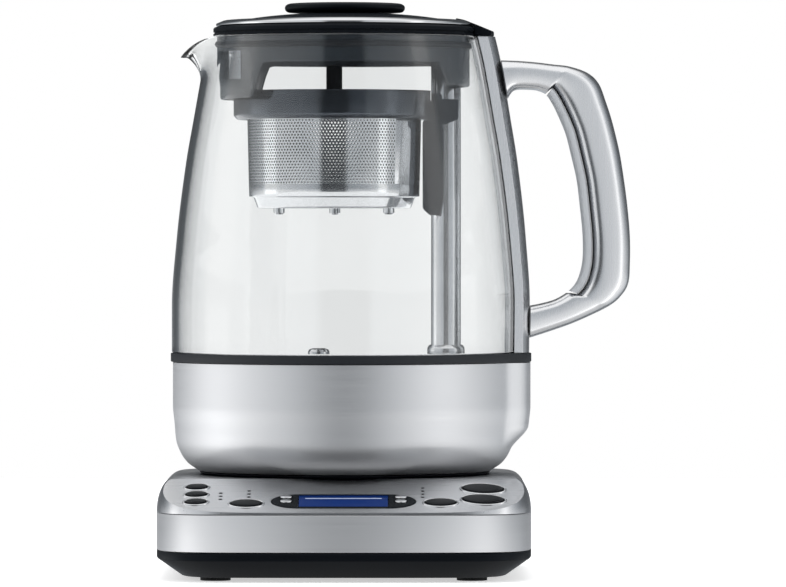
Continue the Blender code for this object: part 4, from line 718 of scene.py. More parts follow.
def display_lit():
    """Acrylic over a lit liquid crystal: deep blue, with a thin pale line of unlit cells in its
    upper third. The lens is clear and glossy."""
    name = "Acrylic Display Blue"
    if name in bpy.data.materials:
        return bpy.data.materials[name]
    finish = surface(
        name, colours().display, 0.08, (6, 6, 6),
        spread=0.03, contrast=0.04, IOR=1.49, Specular_IOR_Level=0.06
    )
    tree = finish.node_tree
    shader = next(node for node in tree.nodes if node.type == "BSDF_PRINCIPLED")
    across = add_node(tree, "ShaderNodeUVMap", uv_map="Lens")
    parts = add_node(tree, "ShaderNodeSeparateXYZ", {"Vector": across})
    line, ends = (
        add_node(tree, "ShaderNodeMath", {0: parts.outputs[axis], 1: middle, 2: half}, operation="COMPARE")
        for axis, (middle, half) in (("Y", DISPLAY_LINE_SHARES), ("X", DISPLAY_LINE_SPAN_SHARES))
    )
    drawn = add_node(tree, "ShaderNodeMath", {0: line, 1: ends}, operation="MULTIPLY")
    shade = shader.inputs["Base Color"].links[0].from_socket
    marked = add_node(
        tree, "ShaderNodeMix", {0: drawn, 6: shade, 7: opaque(linear("#C3D0EA"))}, data_type="RGBA"
    )
    tree.links.new(marked.outputs[2], shader.inputs["Base Color"])
    tree.links.new(marked.outputs[2], shader.inputs["Emission Color"])
    shader.inputs["Emission Strength"].default_value = DISPLAY_GLOW
    return finish


def blend(first, second, share):
    return first + (second - first) * share


def smooth_step(share):
    share = min(max(share, 0), 1)
    return share * share * (3 - 2 * share)


def angle_from(angle, centre):
    """How far an angle lies from a centre, without sign."""
    return abs((angle - centre + math.pi) % FULL_TURN - math.pi)


def smooth_value(table, share):
    """A value from a table, on a smooth curve through its rows that adds no bulge of its own."""
    last = len(table) - 1
    row = next((index for index in range(last) if share <= table[index + 1][0]), last - 1)
    slopes = [(high[1] - low[1]) / (high[0] - low[0]) for low, high in zip(table, table[1:])]

    def tangent(index):
        if index in (0, last):
            return slopes[min(index, last - 1)]
        before, after = slopes[index - 1], slopes[index]
        return 0 if before * after <= 0 else 2 * before * after / (before + after)

    low, high = table[row], table[row + 1]
    length = high[0] - low[0]
    t = min(max((share - low[0]) / length, 0), 1)
    ends = (2 * t**3 - 3 * t**2 + 1) * low[1] + (3 * t**2 - 2 * t**3) * high[1]
    turns = (t**3 - 2 * t**2 + t) * tangent(row) + (t**3 - t**2) * tangent(row + 1)
    return ends + turns * length


def softened(points, radius, steps=4, closed=False):
    """A run of points with each corner turned into a short curve that starts a radius away from it."""
    points = [Vector(point) for point in points]
    count = len(points)
    soft = []
    for index, corner in enumerate(points):
        if not closed and index in (0, count - 1):
            soft.append(corner)
            continue
        before = points[index - 1]
        after = points[(index + 1) % count]
        reach = min(radius, (before - corner).length * 0.45, (after - corner).length * 0.45)
        start = corner + (before - corner).normalized() * reach
        end = corner + (after - corner).normalized() * reach
        for step in range(steps + 1):
            t = step / steps
            soft.append(start * (1 - t) ** 2 + corner * (2 * t * (1 - t)) + end * t**2)
    return soft


def ring_angles(centre=0.0, half_span=0.0, fine=0, steps=ROUND):
    """Angles round a circle, closer together within half_span of a centre."""
    if not fine:
        return [FULL_TURN * index / steps for index in range(steps)]
    angles = [centre - half_span + 2 * half_span * index / fine for index in range(fine)]
    rest = FULL_TURN - 2 * half_span
    count = round(steps * rest / FULL_TURN)
    return angles + [centre + half_span + rest * index / count for index in range(count)]


def polar(radius, angle, height, centre=None):
    centre = AXIS if centre is None else centre
    return (centre.x + radius * math.cos(angle), centre.y + radius * math.sin(angle), height)


def loft(rings, closed=False):
    """A shape through rings of points. Closed joins the last ring to the first."""
    shape = bmesh.new()
    loops = [[shape.verts.new(point) for point in ring] for ring in rings]
    pairs = list(zip(loops, loops[1:]))
    if closed:
        pairs.append((loops[-1], loops[0]))
    else:
        shape.faces.new(reversed(loops[0]))
        shape.faces.new(loops[-1])
    for low, high in pairs:
        for index, point in enumerate(low):
            after = (index + 1) % len(low)
            shape.faces.new((point, low[after], high[after], high[index]))
    bmesh.ops.recalc_face_normals(shape, faces=shape.faces)
    return shape


def turned(profile, centre=None, closed=True, steps=ROUND):
    """A solid of revolution about an upright axis, from (radius, height) points."""
    angles = ring_angles(steps=steps)
    rings = [[polar(radius, angle, height, centre) for angle in angles] for radius, height in profile]
    return loft(rings, closed)


def arc_solid(section, first, last, steps):
    """A section of (radius, height) points, swept part of the way round the jug's axis."""
    angles = [blend(first, last, index / steps) for index in range(steps + 1)]
    return loft([[polar(radius, angle, height) for radius, height in section] for angle in angles])


def superellipse(half_length, half_height, power, count):
    """Points round a rounded rectangle, from +X, anticlockwise."""
    points = []
    for index in range(count):
        angle = FULL_TURN * index / count
        u = math.cos(angle)
        v = math.sin(angle)
        points.append(
            (
                math.copysign(half_length * abs(u) ** (2 / power), u),
                math.copysign(half_height * abs(v) ** (2 / power), v),
            )
        )
    return points


def block(low, high):
    outline = ((low[0], low[1]), (high[0], low[1]), (high[0], high[1]), (low[0], high[1]))
    return loft([[(x, y, z) for x, y in outline] for z in (low[2], high[2])])


def side_prism(outline, half_width, middle):
    """An outline of (x, z) points from a middle, extruded to both sides of it along Y."""
    return loft([[(middle.x + x, middle.y + y, z) for x, z in outline] for y in (-half_width, half_width)])


def grouped(shapes):
    """Several solids as one."""
    whole = bmesh.new()
    for shape in shapes:
        mesh = bpy.data.meshes.new("shape")
        shape.to_mesh(mesh)
        shape.free()
        whole.from_mesh(mesh)
        bpy.data.meshes.remove(mesh)
    return whole


def carved(shape, tool):
    """A solid less another one, by an exact Boolean."""
    objects = []
    for part in (shape, tool):
        mesh = bpy.data.meshes.new("carving")
        part.to_mesh(mesh)
        part.free()
        made = bpy.data.objects.new("carving", mesh)
        bpy.context.scene.collection.objects.link(made)
        objects.append(made)
    body, cutter = objects
    change = body.modifiers.new("carve", "BOOLEAN")
    change.operation = "DIFFERENCE"
    change.solver = "EXACT"
    change.object = cutter
    result = bmesh.new()
    bpy.context.view_layer.update()
    result.from_object(body, bpy.context.evaluated_depsgraph_get())
    for made in objects:
        mesh = made.data
        bpy.data.objects.remove(made)
        bpy.data.meshes.remove(mesh)
    return result


def beyond_plane(shape, origin, normal):
    """A solid cut off by a plane, with the cut closed. The side that the normal points to goes."""
    bmesh.ops.bisect_plane(
        shape,
        geom=shape.verts[:] + shape.edges[:] + shape.faces[:],
        plane_co=origin,
        plane_no=normal,
        clear_outer=True,
    )
    bmesh.ops.holes_fill(shape, edges=[edge for edge in shape.edges if edge.is_boundary])
    bmesh.ops.recalc_face_normals(shape, faces=shape.faces)
    return shape


def piece(name, shape, finish, body, nodes=(), angle=SMOOTH_ANGLE):
    """A finished piece that rides on a body, and stands for the frame's nodes that are named."""
    mesh = bpy.data.meshes.new(name)
    shape.to_mesh(mesh)
    shape.free()
    made = bpy.data.objects.new(name, mesh)
    bpy.context.scene.collection.objects.link(made)
    mesh.shade_smooth()
    mesh.set_sharp_from_angle(angle=angle)
    mesh.materials.append(finish)
    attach(made, body)
    if nodes:
        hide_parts(*nodes)
    return made


def rounded_edges(made, width, segments=3, angle=math.radians(40)):
    """Breaks a piece's sharp edges, as a mould or a press does."""
    bevel = made.modifiers.new("edges", "BEVEL")
    bevel.width = width
    bevel.segments = segments
    bevel.limit_method = "ANGLE"
    bevel.angle_limit = angle
    bevel.harden_normals = False
    normals = made.modifiers.new("normals", "WEIGHTED_NORMAL")
    normals.keep_sharp = False
    made.data.set_sharp_from_angle(angle=math.pi)
    return made


def refinish(finish, *nodes):
    """Gives nodes of the frame that need no finer shape a finish of their own."""
    for node in nodes:
        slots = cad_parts[node].material_slots
        for slot in slots:
            slot.material = finish


def base_outline(inset):
    """The base's plan, drawn in by an inset all round."""
    outline = superellipse(BASE_HALF_WIDTH - inset, BASE_HALF_DEPTH - inset, BASE_POWER, BASE_POINTS)
    return [(BASE_MIDDLE.x + x, BASE_MIDDLE.y + y) for x, y in outline]


def base_loft(levels, closed=False):
    return loft([[(x, y, height) for x, y in base_outline(inset)] for inset, height in levels], closed)


def on_slope(u, v, w=0.0):
    """A point of the sloping panel: across it, up it and out of it."""
    return SLOPE_ORIGIN + Vector((u, 0, 0)) + SLOPE_UP * v + SLOPE_NORMAL * w


def slope_loft(rings, closed=False):
    """A solid through rings of (u, v) points, each at its own height above the panel."""
    return loft([[on_slope(u, v, w) for u, v in ring] for ring, w in rings], closed)


def turned_outline(outline, turn, shift):
    cosine = math.cos(turn)
    sine = math.sin(turn)
    return [(shift[0] + x * cosine - y * sine, shift[1] + x * sine + y * cosine) for x, y in outline]


def panel_u(share):
    """A place across the panel, as a share of the base's half width."""
    return share * BASE_HALF_WIDTH


def button_table():
    """Every button: name, size, place on the slope, turn and whether it sits in the bezel."""
    rows = [
        (name, SMALL_BUTTON, (panel_u(-0.778), v), LEFT_TURN, False)
        for name, v in (("keep_warm", 13.5 * MM), ("clock", 23.2 * MM), ("auto_start", 32.8 * MM))
    ]
    rows += [
        ("tea_type", TYPE_BUTTON, (panel_u(-0.5121), 11.4 * MM), 0, False),
        ("strength", TYPE_BUTTON, (panel_u(0.5121), 12.7 * MM), 0, False),
        ("tea_start", START_BUTTON, (panel_u(0.7376), 16.6 * MM), RIGHT_TURN, False),
        ("water_start", START_BUTTON, (panel_u(0.7376), 30.6 * MM), RIGHT_TURN, False),
    ]
    for side_name, side in (("left", -1), ("right", 1)):
        for row_name, v in (("down", 13.7 * MM), ("up", 19.3 * MM)):
            place = (side * panel_u(0.3029), v)
            rows.append((f"display_key_{side_name}_{row_name}", DISPLAY_KEY, place, 0, True))
    return rows


def oval(size, margin, place, turn, count=SMALL_ROUND):
    outline = superellipse(size[0] + margin, size[1] + margin, 2, count)
    return turned_outline(outline, turn, place)


def bezel_outline(margin):
    """A bar with half-ellipse ends."""
    steps = SMALL_ROUND // 2
    points = []
    for side in (1, -1):
        for index in range(steps + 1):
            angle = math.pi * (index / steps - 0.5)
            x = panel_u(BEZEL_FLAT_SHARE) + (panel_u(BEZEL_END_SHARE) + margin) * math.cos(angle)
            y = (BEZEL_HALF_HEIGHT + margin) * math.sin(angle)
            points.append((side * x, side * y + BEZEL_V))
    return points


def lens_outline(margin):
    length = panel_u(LENS_SHARE) + margin
    height = LENS_HALF_HEIGHT + margin
    corners = ((-length, -height), (length, -height), (length, height), (-length, height))
    return [(x, y + BEZEL_V) for x, y in corners]


def light_places(columns):
    return [(panel_u(share), v + LIGHT_PITCH * row) for share, v, rows in columns for row in range(rows)]


def build_tub():
    """The black lower housing, with its chamfered skirt and the lip that the band fits on."""
    edge = sizes().edge
    low = low_of("base_tub")
    top = BAND_BOTTOM - GAP
    chamfer_top = low + CHAMFER_HEIGHT
    profile = softened(
        (
            (CHAMFER_INSET + TUB_LIP, low + TUB_WALL, 0),
            (CHAMFER_INSET, low, 0),
            (0, chamfer_top, 0),
            (0, top, 0),
            (TUB_LIP, top, 0),
            (TUB_LIP, high_of("base_tub"), 0),
            (TUB_LIP + TUB_WALL, high_of("base_tub"), 0),
            (TUB_LIP + TUB_WALL, chamfer_top + TUB_WALL, 0),
        ),
        edge,
        3,
    )
    shape = base_loft([(inset, height) for inset, height, _ in profile])
    piece("base_tub_shell", shape, plastic_black(), "base", ("base_tub",))


def build_band():
    """The brushed steel wall of the base, with rolled edges."""
    profile = softened(
        (
            (0, BAND_BOTTOM, 0),
            (0, BAND_TOP, 0),
            (BAND_WALL, BAND_TOP, 0),
            (BAND_WALL, BAND_BOTTOM, 0),
        ),
        0.35 * MM,
        3,
        closed=True,
    )
    shape = base_loft([(inset, height) for inset, height, _ in profile], closed=True)
    piece("base_band_shell", shape, steel_band(), "base", ("base_steel_band",))


def steel_band():
    """18/8 stainless steel strip, brushed along its length: level streaks that run round the base. The
    marks are drawn 0.6 mm apart, so that they show."""
    finish = surface(
        "Stainless Steel Strip Brushed",
        colours().steel,
        0.50,
        (80, 80, 0.6),
        spread=0.05,
        contrast=0.025,
        relief=0.0012,
        Metallic=1.0,
    )
    return crowned(finish, math.radians(30))


def panel_levels(wall, drop):
    """The panel's section at its edge: a quarter of an ellipse from the rim to the flat top."""
    height = PANEL_TOP - PANEL_RIM
    levels = [(wall, PANEL_RIM - drop)]
    for step in range(PANEL_EDGE_STEPS + 1):
        angle = math.pi / 2 * step / PANEL_EDGE_STEPS
        level = PANEL_RIM + height * math.sin(angle) - wall
        if level > PANEL_RIM - drop:
            levels.append((wall + PANEL_INSET * (1 - math.cos(angle)), level))
    return levels


def panel_solid(wall, drop):
    shape = base_loft(panel_levels(wall, drop))
    return beyond_plane(shape, SLOPE_ORIGIN - SLOPE_NORMAL * wall, SLOPE_NORMAL)


def build_panel():
    """The pressed steel top: sloping in front, flat behind, and pierced for the controls and the jug."""
    shape = carved(panel_solid(0, 0), panel_solid(PANEL_WALL, 4 * MM))
    seat = turned(((SEAT_RADIUS, PANEL_RIM), (SEAT_RADIUS, PANEL_TOP + 4 * MM)), closed=False)
    shape = carved(shape, seat)
    reach = PANEL_WALL + 4 * MM
    holes = [
        slope_loft([(oval(size, GAP, place, turn), -reach), (oval(size, GAP, place, turn), reach)])
        for _, size, place, turn, in_bezel in button_table()
        if not in_bezel
    ]
    for u, v in light_places(LEFT_LIGHTS + RIGHT_LIGHTS):
        dot = superellipse(LIGHT_HOLE, LIGHT_HOLE, 2, 20)
        dot = turned_outline(dot, 0, (u, v))
        holes.append(slope_loft([(dot, -reach), (dot, reach)]))
    holes.append(slope_loft([(bezel_outline(GAP), -reach), (bezel_outline(GAP), reach)]))
    shape = carved(shape, grouped(holes))
    made = piece(
        "base_panel_shell", shape, steel_long(), "base", ("base_top_panel",)
    )
    rounded_edges(made, 0.35 * MM, 2, math.radians(28))


def build_seat():
    """The black dish that the jug stands in."""
    top = high_of("seat_dish")
    floor = BOWL_BOTTOM - 7 * MM
    profile = softened(
        (
            (DISH_BORE, floor, 0),
            (DISH_INSIDE, floor, 0),
            (DISH_INSIDE, top, 0),
            (SEAT_RADIUS + 3.5 * MM, top, 0),
            (SEAT_RADIUS + 3.5 * MM, top - DISH_WALL, 0),
            (DISH_INSIDE + DISH_WALL, top - DISH_WALL, 0),
            (DISH_INSIDE + DISH_WALL, floor - DISH_WALL, 0),
            (DISH_BORE, floor - DISH_WALL, 0),
        ),
        0.5 * MM,
        3,
        closed=True,
    )
    shape = turned([(radius, height) for radius, height, _ in profile])
    shape = beyond_plane(shape, SLOPE_ORIGIN - SLOPE_NORMAL * (PANEL_WALL + GAP), SLOPE_NORMAL)
    piece("seat_dish_shell", shape, plastic_black(), "base", ("seat_dish",))


# How far up the cap its side ends and its shoulder ends, how far in the shoulder comes, and the
# sizes of the crown's rings
CAP_SIDE_SHARE = 0.35
CAP_SHOULDER_SHARE = 0.8
CAP_INSET_SHARE = 0.16
CAP_CROWN_SHARES = (0.72, 0.5, 0.28, 0.1)
RIM_HEIGHT = 0.55 * MM


def crowned_cap(size, place, turn):
    """A button cap: upright sides, a rounded shoulder and a low crown."""
    rings = [
        (oval(size, 0, place, turn), -CAP_DEPTH),
        (oval(size, 0, place, turn), CAP_PROUD * CAP_SIDE_SHARE),
    ]
    steps = 6
    for step in range(1, steps + 1):
        angle = math.pi / 2 * step / steps
        inset = -size[1] * CAP_INSET_SHARE * (1 - math.cos(angle))
        rise = blend(CAP_SIDE_SHARE, CAP_SHOULDER_SHARE, math.sin(angle))
        rings.append((oval(size, inset, place, turn), CAP_PROUD * rise))
    for share in CAP_CROWN_SHARES:
        small = (size[0] * share, size[1] * share)
        rise = CAP_SHOULDER_SHARE + (1 - CAP_SHOULDER_SHARE) * (1 - share**2)
        rings.append((oval(small, 0, place, turn), CAP_PROUD * rise))
    return slope_loft(rings)


def rim_ring(size, place, turn, width, height, margin=0.0):
    """A half-round ring about an oval, which lies on the panel."""
    section = []
    for step in range(9):
        angle = math.pi * step / 8
        section.append((margin + width / 2 * (1 - math.cos(angle)), height * math.sin(angle)))
    section += [(margin + width, -0.2 * MM), (margin, -0.2 * MM)]
    return slope_loft([(oval(size, out, place, turn, 64), w) for out, w in section], closed=True)


def build_buttons():
    """The crowned caps, each on its own slide, and the bright rims pressed round their holes."""
    width = sizes().rim
    rims = []
    for name, size, place, turn, in_bezel in button_table():
        node = name if in_bezel else f"{name}_button"
        finish = steel_polished() if in_bezel else plastic_gloss()
        shape = crowned_cap(size, place, turn)
        piece(f"{node}_cap", shape, finish, node, (node,))
        if not in_bezel:
            rims.append(rim_ring(size, place, turn, width, RIM_HEIGHT, GAP))
    piece("button_rims", grouped(rims), steel_polished(), "base", ())


def build_display():
    """The grey surround, with a dark groove where it meets the panel, and the blue lens in it."""
    back = -PANEL_WALL
    rings = [(bezel_outline(0), back), (bezel_outline(0), 0.0)]
    for step in range(1, 5):
        angle = math.pi / 2 * step / 4
        rings.append((bezel_outline(-0.5 * MM * (1 - math.cos(angle))), BEZEL_PROUD * math.sin(angle)))
    shape = slope_loft(rings)
    holes = [
        slope_loft([(oval(size, GAP, place, turn), back - MM), (oval(size, GAP, place, turn), 2 * MM)])
        for _, size, place, turn, in_bezel in button_table()
        if in_bezel
    ]
    holes.append(slope_loft([(lens_outline(GAP), back - MM), (lens_outline(GAP), 2 * MM)]))
    shape = carved(shape, grouped(holes))
    piece("display_bezel_shell", shape, plastic_slate_satin(), "base", ("display_bezel",))

    lens = slope_loft(
        [
            (lens_outline(0), BEZEL_PROUD - LENS_THICKNESS),
            (lens_outline(0), BEZEL_PROUD - 0.15 * MM),
            (lens_outline(-0.25 * MM), BEZEL_PROUD),
        ]
    )
    made = piece("display_lens", lens, display_lit(), "base", ("display_window",))
    made.visible_glossy = False
    layer = made.data.uv_layers.new(name="Lens")
    length = 2 * panel_u(LENS_SHARE)
    for loop in made.data.loops:
        point = made.data.vertices[loop.vertex_index].co - SLOPE_ORIGIN
        u = point.x / length + 0.5
        v = (point.dot(SLOPE_UP) - BEZEL_V) / (2 * LENS_HALF_HEIGHT) + 0.5
        layer.data[loop.index].uv = (u, v)


def build_lights():
    """Clear bars behind the panel, with a domed dot in each hole."""
    for name, columns in (("left", LEFT_LIGHTS), ("right", RIGHT_LIGHTS)):
        parts = []
        places = light_places(columns)
        margin = 1.8 * MM
        lefts = min(u for u, _ in places) - margin
        rights = max(u for u, _ in places) + margin
        for u, v in places:
            dot = turned_outline(superellipse(LIGHT_RADIUS, LIGHT_RADIUS, 2, 16), 0, (u, v))
            top = turned_outline(superellipse(LIGHT_RADIUS * 0.6, LIGHT_RADIUS * 0.6, 2, 16), 0, (u, v))
            parts.append(slope_loft([(dot, -PANEL_WALL - MM), (dot, -0.2 * MM), (top, 0)]))
        lows = min(v for _, v in places) - margin
        highs = max(v for _, v in places) + margin
        bar = ((lefts, lows), (rights, lows), (rights, highs), (lefts, highs))
        if name == "left":
            first, second = (
                [
                    v for u, v in places if round(u, 6) == round(edge, 6)
                ] for edge in (lefts + margin, rights - margin)
            )
            bar = (
                (lefts, min(first) - margin),
                (rights, min(second) - margin),
                (rights, max(second) + margin),
                (lefts, max(first) + margin),
            )
        parts.append(slope_loft([(bar, -PANEL_WALL - GAP - 1.8 * MM), (bar, -PANEL_WALL - GAP)]))
        piece(
            f"light_dots_{name}", grouped(parts), lens_smoked(), "base", (
                f"light_bar_{name}",
            )
        )


def bump_share(angle):
    """How much of the column's bulge shows at an angle round the jug."""
    return 1 - smooth_step((angle_from(angle, 0) - BUMP_FLAT) / (BUMP_SPAN - BUMP_FLAT))


def bumped_ring(radius, bump, height):
    return [
        polar(radius + bump * bump_share(angle), angle, height)
        for angle in ring_angles(0, BUMP_SPAN * 1.1, 36)
    ]


def build_foot():
    """The black dish that closes the bowl from below."""
    low = low_of("jug_foot_cap")
    top = high_of("jug_foot_cap")
    radius = BOWL_RADIUS * BOWL_SHARES[0][1]
    waist = low + (top - low) * 0.52
    wall = 2.2 * MM
    hole = 16.3 * MM
    profile = softened(
        (
            (hole, low, 0),
            (radius - 6.4 * MM, low, 0),
            (radius - 4.2 * MM, waist, 0),
            (radius, top, 0),
            (radius - wall, top, 0),
            (radius - 6.4 * MM - wall, low + wall, 0),
            (hole, low + wall, 0),
        ),
        MM,
        4,
        closed=True,
    )
    shape = turned([(radius, height) for radius, height, _ in profile])
    piece("jug_foot_shell", shape, plastic_black(), "jug", ("jug_foot_cap",))


def build_bowl():
    """The spun steel bowl, drawn in to its foot and bulged out under the column."""
    steps = 44
    outside = []
    inside = []
    height = BOWL_TOP - BOWL_BOTTOM
    start, full = BOWL_BUMP_SHARES
    for index in range(steps + 1):
        share = (index / steps) ** 1.25
        radius = BOWL_RADIUS * smooth_value(BOWL_SHARES, share)
        bump = BOWL_BUMP * smooth_step((share - start) / (full - start))
        level = BOWL_BOTTOM + height * share
        outside.append(bumped_ring(radius, bump, level))
        inside.append(bumped_ring(radius - BOWL_WALL, bump, level))
    shape = loft(outside + inside[::-1], closed=True)
    piece("steel_bowl_shell", shape, steel_turned(), "jug", ("steel_bowl",))


def build_seal():
    """The dark ring between the bowl and the glass, with a ledge for the heater plate."""
    low = low_of("seal_band")
    top = high_of("seal_band")
    step = GLASS_RADIUS - GLASS_WALL - GAP
    ledge = low + SEAL_LEDGE
    inner = step - SEAL_LEDGE_WIDTH
    profile = softened(
        (
            (SEAL_RADIUS, low, 0),
            (SEAL_RADIUS, top, 0),
            (step, top, 0),
            (step, ledge, 0),
            (inner, ledge, 0),
            (inner, low, 0),
        ),
        0.5 * MM,
        3,
        closed=True,
    )
    rings = [
        bumped_ring(radius, SEAL_BUMP if radius > step + MM else 0, height) for radius, height, _ in profile
    ]
    piece(
        "seal_band_ring", loft(rings, closed=True), silicone_black(), "jug", ("seal_band",)
    )


def build_heater():
    """The polished floor of the jug, with the probe's domed tip and the holes for it and the post."""
    low = low_of("heater_plate")
    top = high_of("heater_plate")
    radius = (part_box("heater_plate")[1][0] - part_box("heater_plate")[0][0]) / 2
    profile = softened(
        ((0.01 * MM, low, 0), (radius, low, 0), (radius, top, 0), (0.01 * MM, top, 0)), 0.5 * MM, 3
    )
    shape = turned([(r, height) for r, height, _ in profile], closed=False)
    probe = middle_of("temperature_sensor")
    holes = [
        turned(((POST_RADIUS + GAP, low - MM), (POST_RADIUS + GAP, top + MM)), POST_AXIS, False, SMALL_ROUND),
        turned(((5.3 * MM, low - MM), (5.3 * MM, top + MM)), probe, False, SMALL_ROUND),
    ]
    shape = carved(shape, grouped(holes))
    piece("heater_floor", shape, steel_polished(), "jug", ("heater_plate",))
    tip = high_of("temperature_sensor")
    profile = (
        (5 * MM, low_of("temperature_sensor")), (5 * MM, tip - MM), (4.4 * MM, tip - 0.3 * MM), (3 * MM, tip)
    )
    shape = turned(profile, probe, False, SMALL_ROUND)
    piece("probe_tip", shape, steel_polished(), "jug", ("temperature_sensor",))


def build_post():
    """The polished tube that the basket rides on, with its rolled top and its collar."""
    top = high_of("post_tube")
    tail = low_of("post_tube")
    inside = POST_RADIUS - 0.8 * MM
    profile = [(inside, tail), (POST_RADIUS, tail), (POST_RADIUS, top - 3 * MM)]
    for step in range(1, 9):
        angle = math.pi / 2 * step / 8
        profile.append(
            (blend(POST_RADIUS, 1 * MM, 1 - math.cos(angle)), top - 3 * MM * (1 - math.sin(angle)))
        )
    profile.append((1 * MM, top - 0.8 * MM))
    profile.append((inside, top - 3.2 * MM))
    shape = turned(profile, POST_AXIS, True, SMALL_ROUND)
    piece("post_shell", shape, steel_polished(), "jug", ("post_tube",))
    low = low_of("post_foot")
    high = high_of("post_foot")
    profile = softened(
        (
            (POST_RADIUS + GAP, low, 0),
            (8.8 * MM, low, 0),
            (8.8 * MM, (low + high) / 2, 0),
            (7.8 * MM, high, 0),
            (POST_RADIUS + GAP, high, 0),
        ),
        0.4 * MM,
        3,
        closed=True,
    )
    shape = turned([(r, height) for r, height, _ in profile], POST_AXIS, True, SMALL_ROUND)
    piece("post_collar", shape, steel_polished(), "jug", ("post_foot",))


def glass_radius(height):
    """The outer radius of the glass at a height, away from the spout."""
    share = min(max((height - GLASS_BOTTOM) / GLASS_HEIGHT, 0), 1)
    return GLASS_RADIUS * smooth_value(GLASS_SHARES, share)


def glass_ring(share, depth, lip):
    """One ring of the glass at a depth in from its face, drawn out and down into the spout."""
    rise = max((share - SPOUT_START_SHARE) / (1 - SPOUT_START_SHARE), 0)
    reach = SPOUT_REACH * rise**SPOUT_REACH_POWER
    drop = (SPOUT_DROP - lip) * rise**SPOUT_DROP_POWER
    ring = []
    for angle in ring_angles(math.pi, SPOUT_HALF_SPAN * 1.05, 64):
        closeness = max(1 - angle_from(angle, math.pi) / SPOUT_HALF_SPAN, 0)
        weight = closeness**SPOUT_POINT_POWER
        # the point of the lip is rounded over its last few degrees
        blunt = 1 - smooth_step((1 - closeness) / SPOUT_POINT_SPAN_SHARE)
        weight -= SPOUT_POINT_BLUNTING * blunt
        radius = GLASS_RADIUS * smooth_value(GLASS_SHARES, share) - depth + reach * weight
        height = GLASS_BOTTOM + GLASS_HEIGHT * share - drop * weight**SPOUT_ARCH_POWER
        # the lip rolls over and hangs at its end
        hook = smooth_step((rise - SPOUT_HOOK_START) / (1 - SPOUT_HOOK_START))
        height -= SPOUT_HOOK * hook * weight**2
        ring.append(polar(radius, angle, height))
    return ring


def build_glass():
    """The blown glass wall with its pouring lip: a fire-polished rim and a ground lower edge."""
    steps = 60
    shares = [1 - (1 - index / steps) ** 1.3 for index in range(steps + 1)]
    outside = [glass_ring(share, 0, 0) for share in shares]
    inside = [glass_ring(share, GLASS_WALL, SPOUT_LIP_RISE) for share in reversed(shares)]
    outer = [Vector(point) for point in outside[-1]]
    inner = [Vector(point) for point in inside[0]]
    rim = []
    for step in range(1, 6):
        t = step / 6
        rim.append([first.lerp(second, t) for first, second in zip(outer, inner)])
    shape = loft(outside + rim + inside, closed=True)
    made = piece("glass_wall", shape, glass_clear(), "jug", ("glass_jug",), math.radians(50))
    rounded_edges(made, 0.9 * MM, 3, math.radians(50))


def column_outer(height):
    """How far the column's face stands from the jug's axis at a height."""
    share = (height - GLASS_BOTTOM) / GLASS_HEIGHT
    return glass_radius(height) + blend(*COLUMN_DEPTHS, share)


def column_ring(share):
    """One section of the column: hollowed to the glass behind, crowned and rounded in front."""
    height = GLASS_BOTTOM + GLASS_HEIGHT * share
    half = blend(*COLUMN_HALF_WIDTHS, share)
    inner = glass_radius(height) + GAP
    outer = column_outer(height)
    edge = math.sqrt(inner**2 - half**2)
    steps = 24
    back = []
    front = []
    for index in range(steps + 1):
        across = math.sin(math.pi / 2 * (2 * index / steps - 1))
        y = half * across
        back.append((AXIS.x + math.sqrt(inner**2 - y**2), AXIS.y + y, height))
        drop = (outer - edge) * COLUMN_EDGE_SHARE * across**4
        front.append((AXIS.x + outer - drop, AXIS.y + y, height))
    return back + front[::-1]


def build_column():
    """The steel spine outside the glass, which carries the handle."""
    shape = loft([column_ring(index / 60) for index in range(61)])
    made = piece("column_shell", shape, steel_upright(), "jug", ("handle_column",))
    rounded_edges(made, 0.7 * MM, 3, math.radians(45))


def handle_station(place):
    """The outer and the inner point of the loop, at a place between its numbered stations."""
    table = [(index, *shares) for index, shares in enumerate(HANDLE_SHARES)]
    index = min(int(place), len(table) - 2)
    t = place - index
    around = [HANDLE_SHARES[min(max(index + step, 0), len(table) - 1)] for step in (-1, 0, 1, 2)]
    values = []
    for column in range(4):
        before, first, second, after = (row[column] for row in around)
        values.append(
            0.5
            * (
                2 * first
                + (second - before) * t
                + (2 * before - 5 * first + 4 * second - after) * t**2
                + (3 * first - before - 3 * second + after) * t**3
            )
        )
    pair = []
    for reach, rise in (values[:2], values[2:]):
        height = GLASS_BOTTOM + HANDLE_RISE + HANDLE_HEIGHT * rise
        pair.append(AXIS + Vector((column_outer(height) + GAP + HANDLE_DEPTH * max(reach, 0), 0, height)))
    return pair


def handle_section(outer, inner):
    """A rounded section that spans from the outer point to the inner one."""
    middle = (outer + inner) / 2
    along = (outer - inner).normalized()
    half = (outer - inner).length / 2
    outline = superellipse(half, HANDLE_WIDTH / 2, HANDLE_POWER, 56)
    return [middle + along * u + Vector((0, v, 0)) for u, v in outline]


def inward(pair, distance):
    """The point that lies a distance out from the inner point of a station."""
    outer, inner = pair
    return inner + (outer - inner).normalized() * distance


def build_handle():
    """The looped steel handle, recessed inside for its strip of pale plastic."""
    first, last = LINER_STATIONS
    steps = 150
    rings = []
    for index in range(steps + 1):
        place = (len(HANDLE_SHARES) - 1) * index / steps
        pair = handle_station(place)
        lined = smooth_step((place - first + 0.03) / 0.06) * smooth_step((last + 0.03 - place) / 0.06)
        rings.append(handle_section(pair[0], inward(pair, (LINER_DEPTH + GAP) * lined)))
    shape = loft(rings)
    piece("handle_loop", shape, steel_upright(), "jug", ("handle",), math.radians(45))
    strip = []
    steps = 100
    for index in range(steps + 1):
        place = blend(first + 0.12, last - 0.12, index / steps)
        pair = handle_station(place)
        strip.append(handle_section(inward(pair, LINER_DEPTH), pair[1]))
    piece(
        "handle_strip", loft(strip), plastic_pale(), "jug", ("handle_liner",),
        math.radians(45)
    )


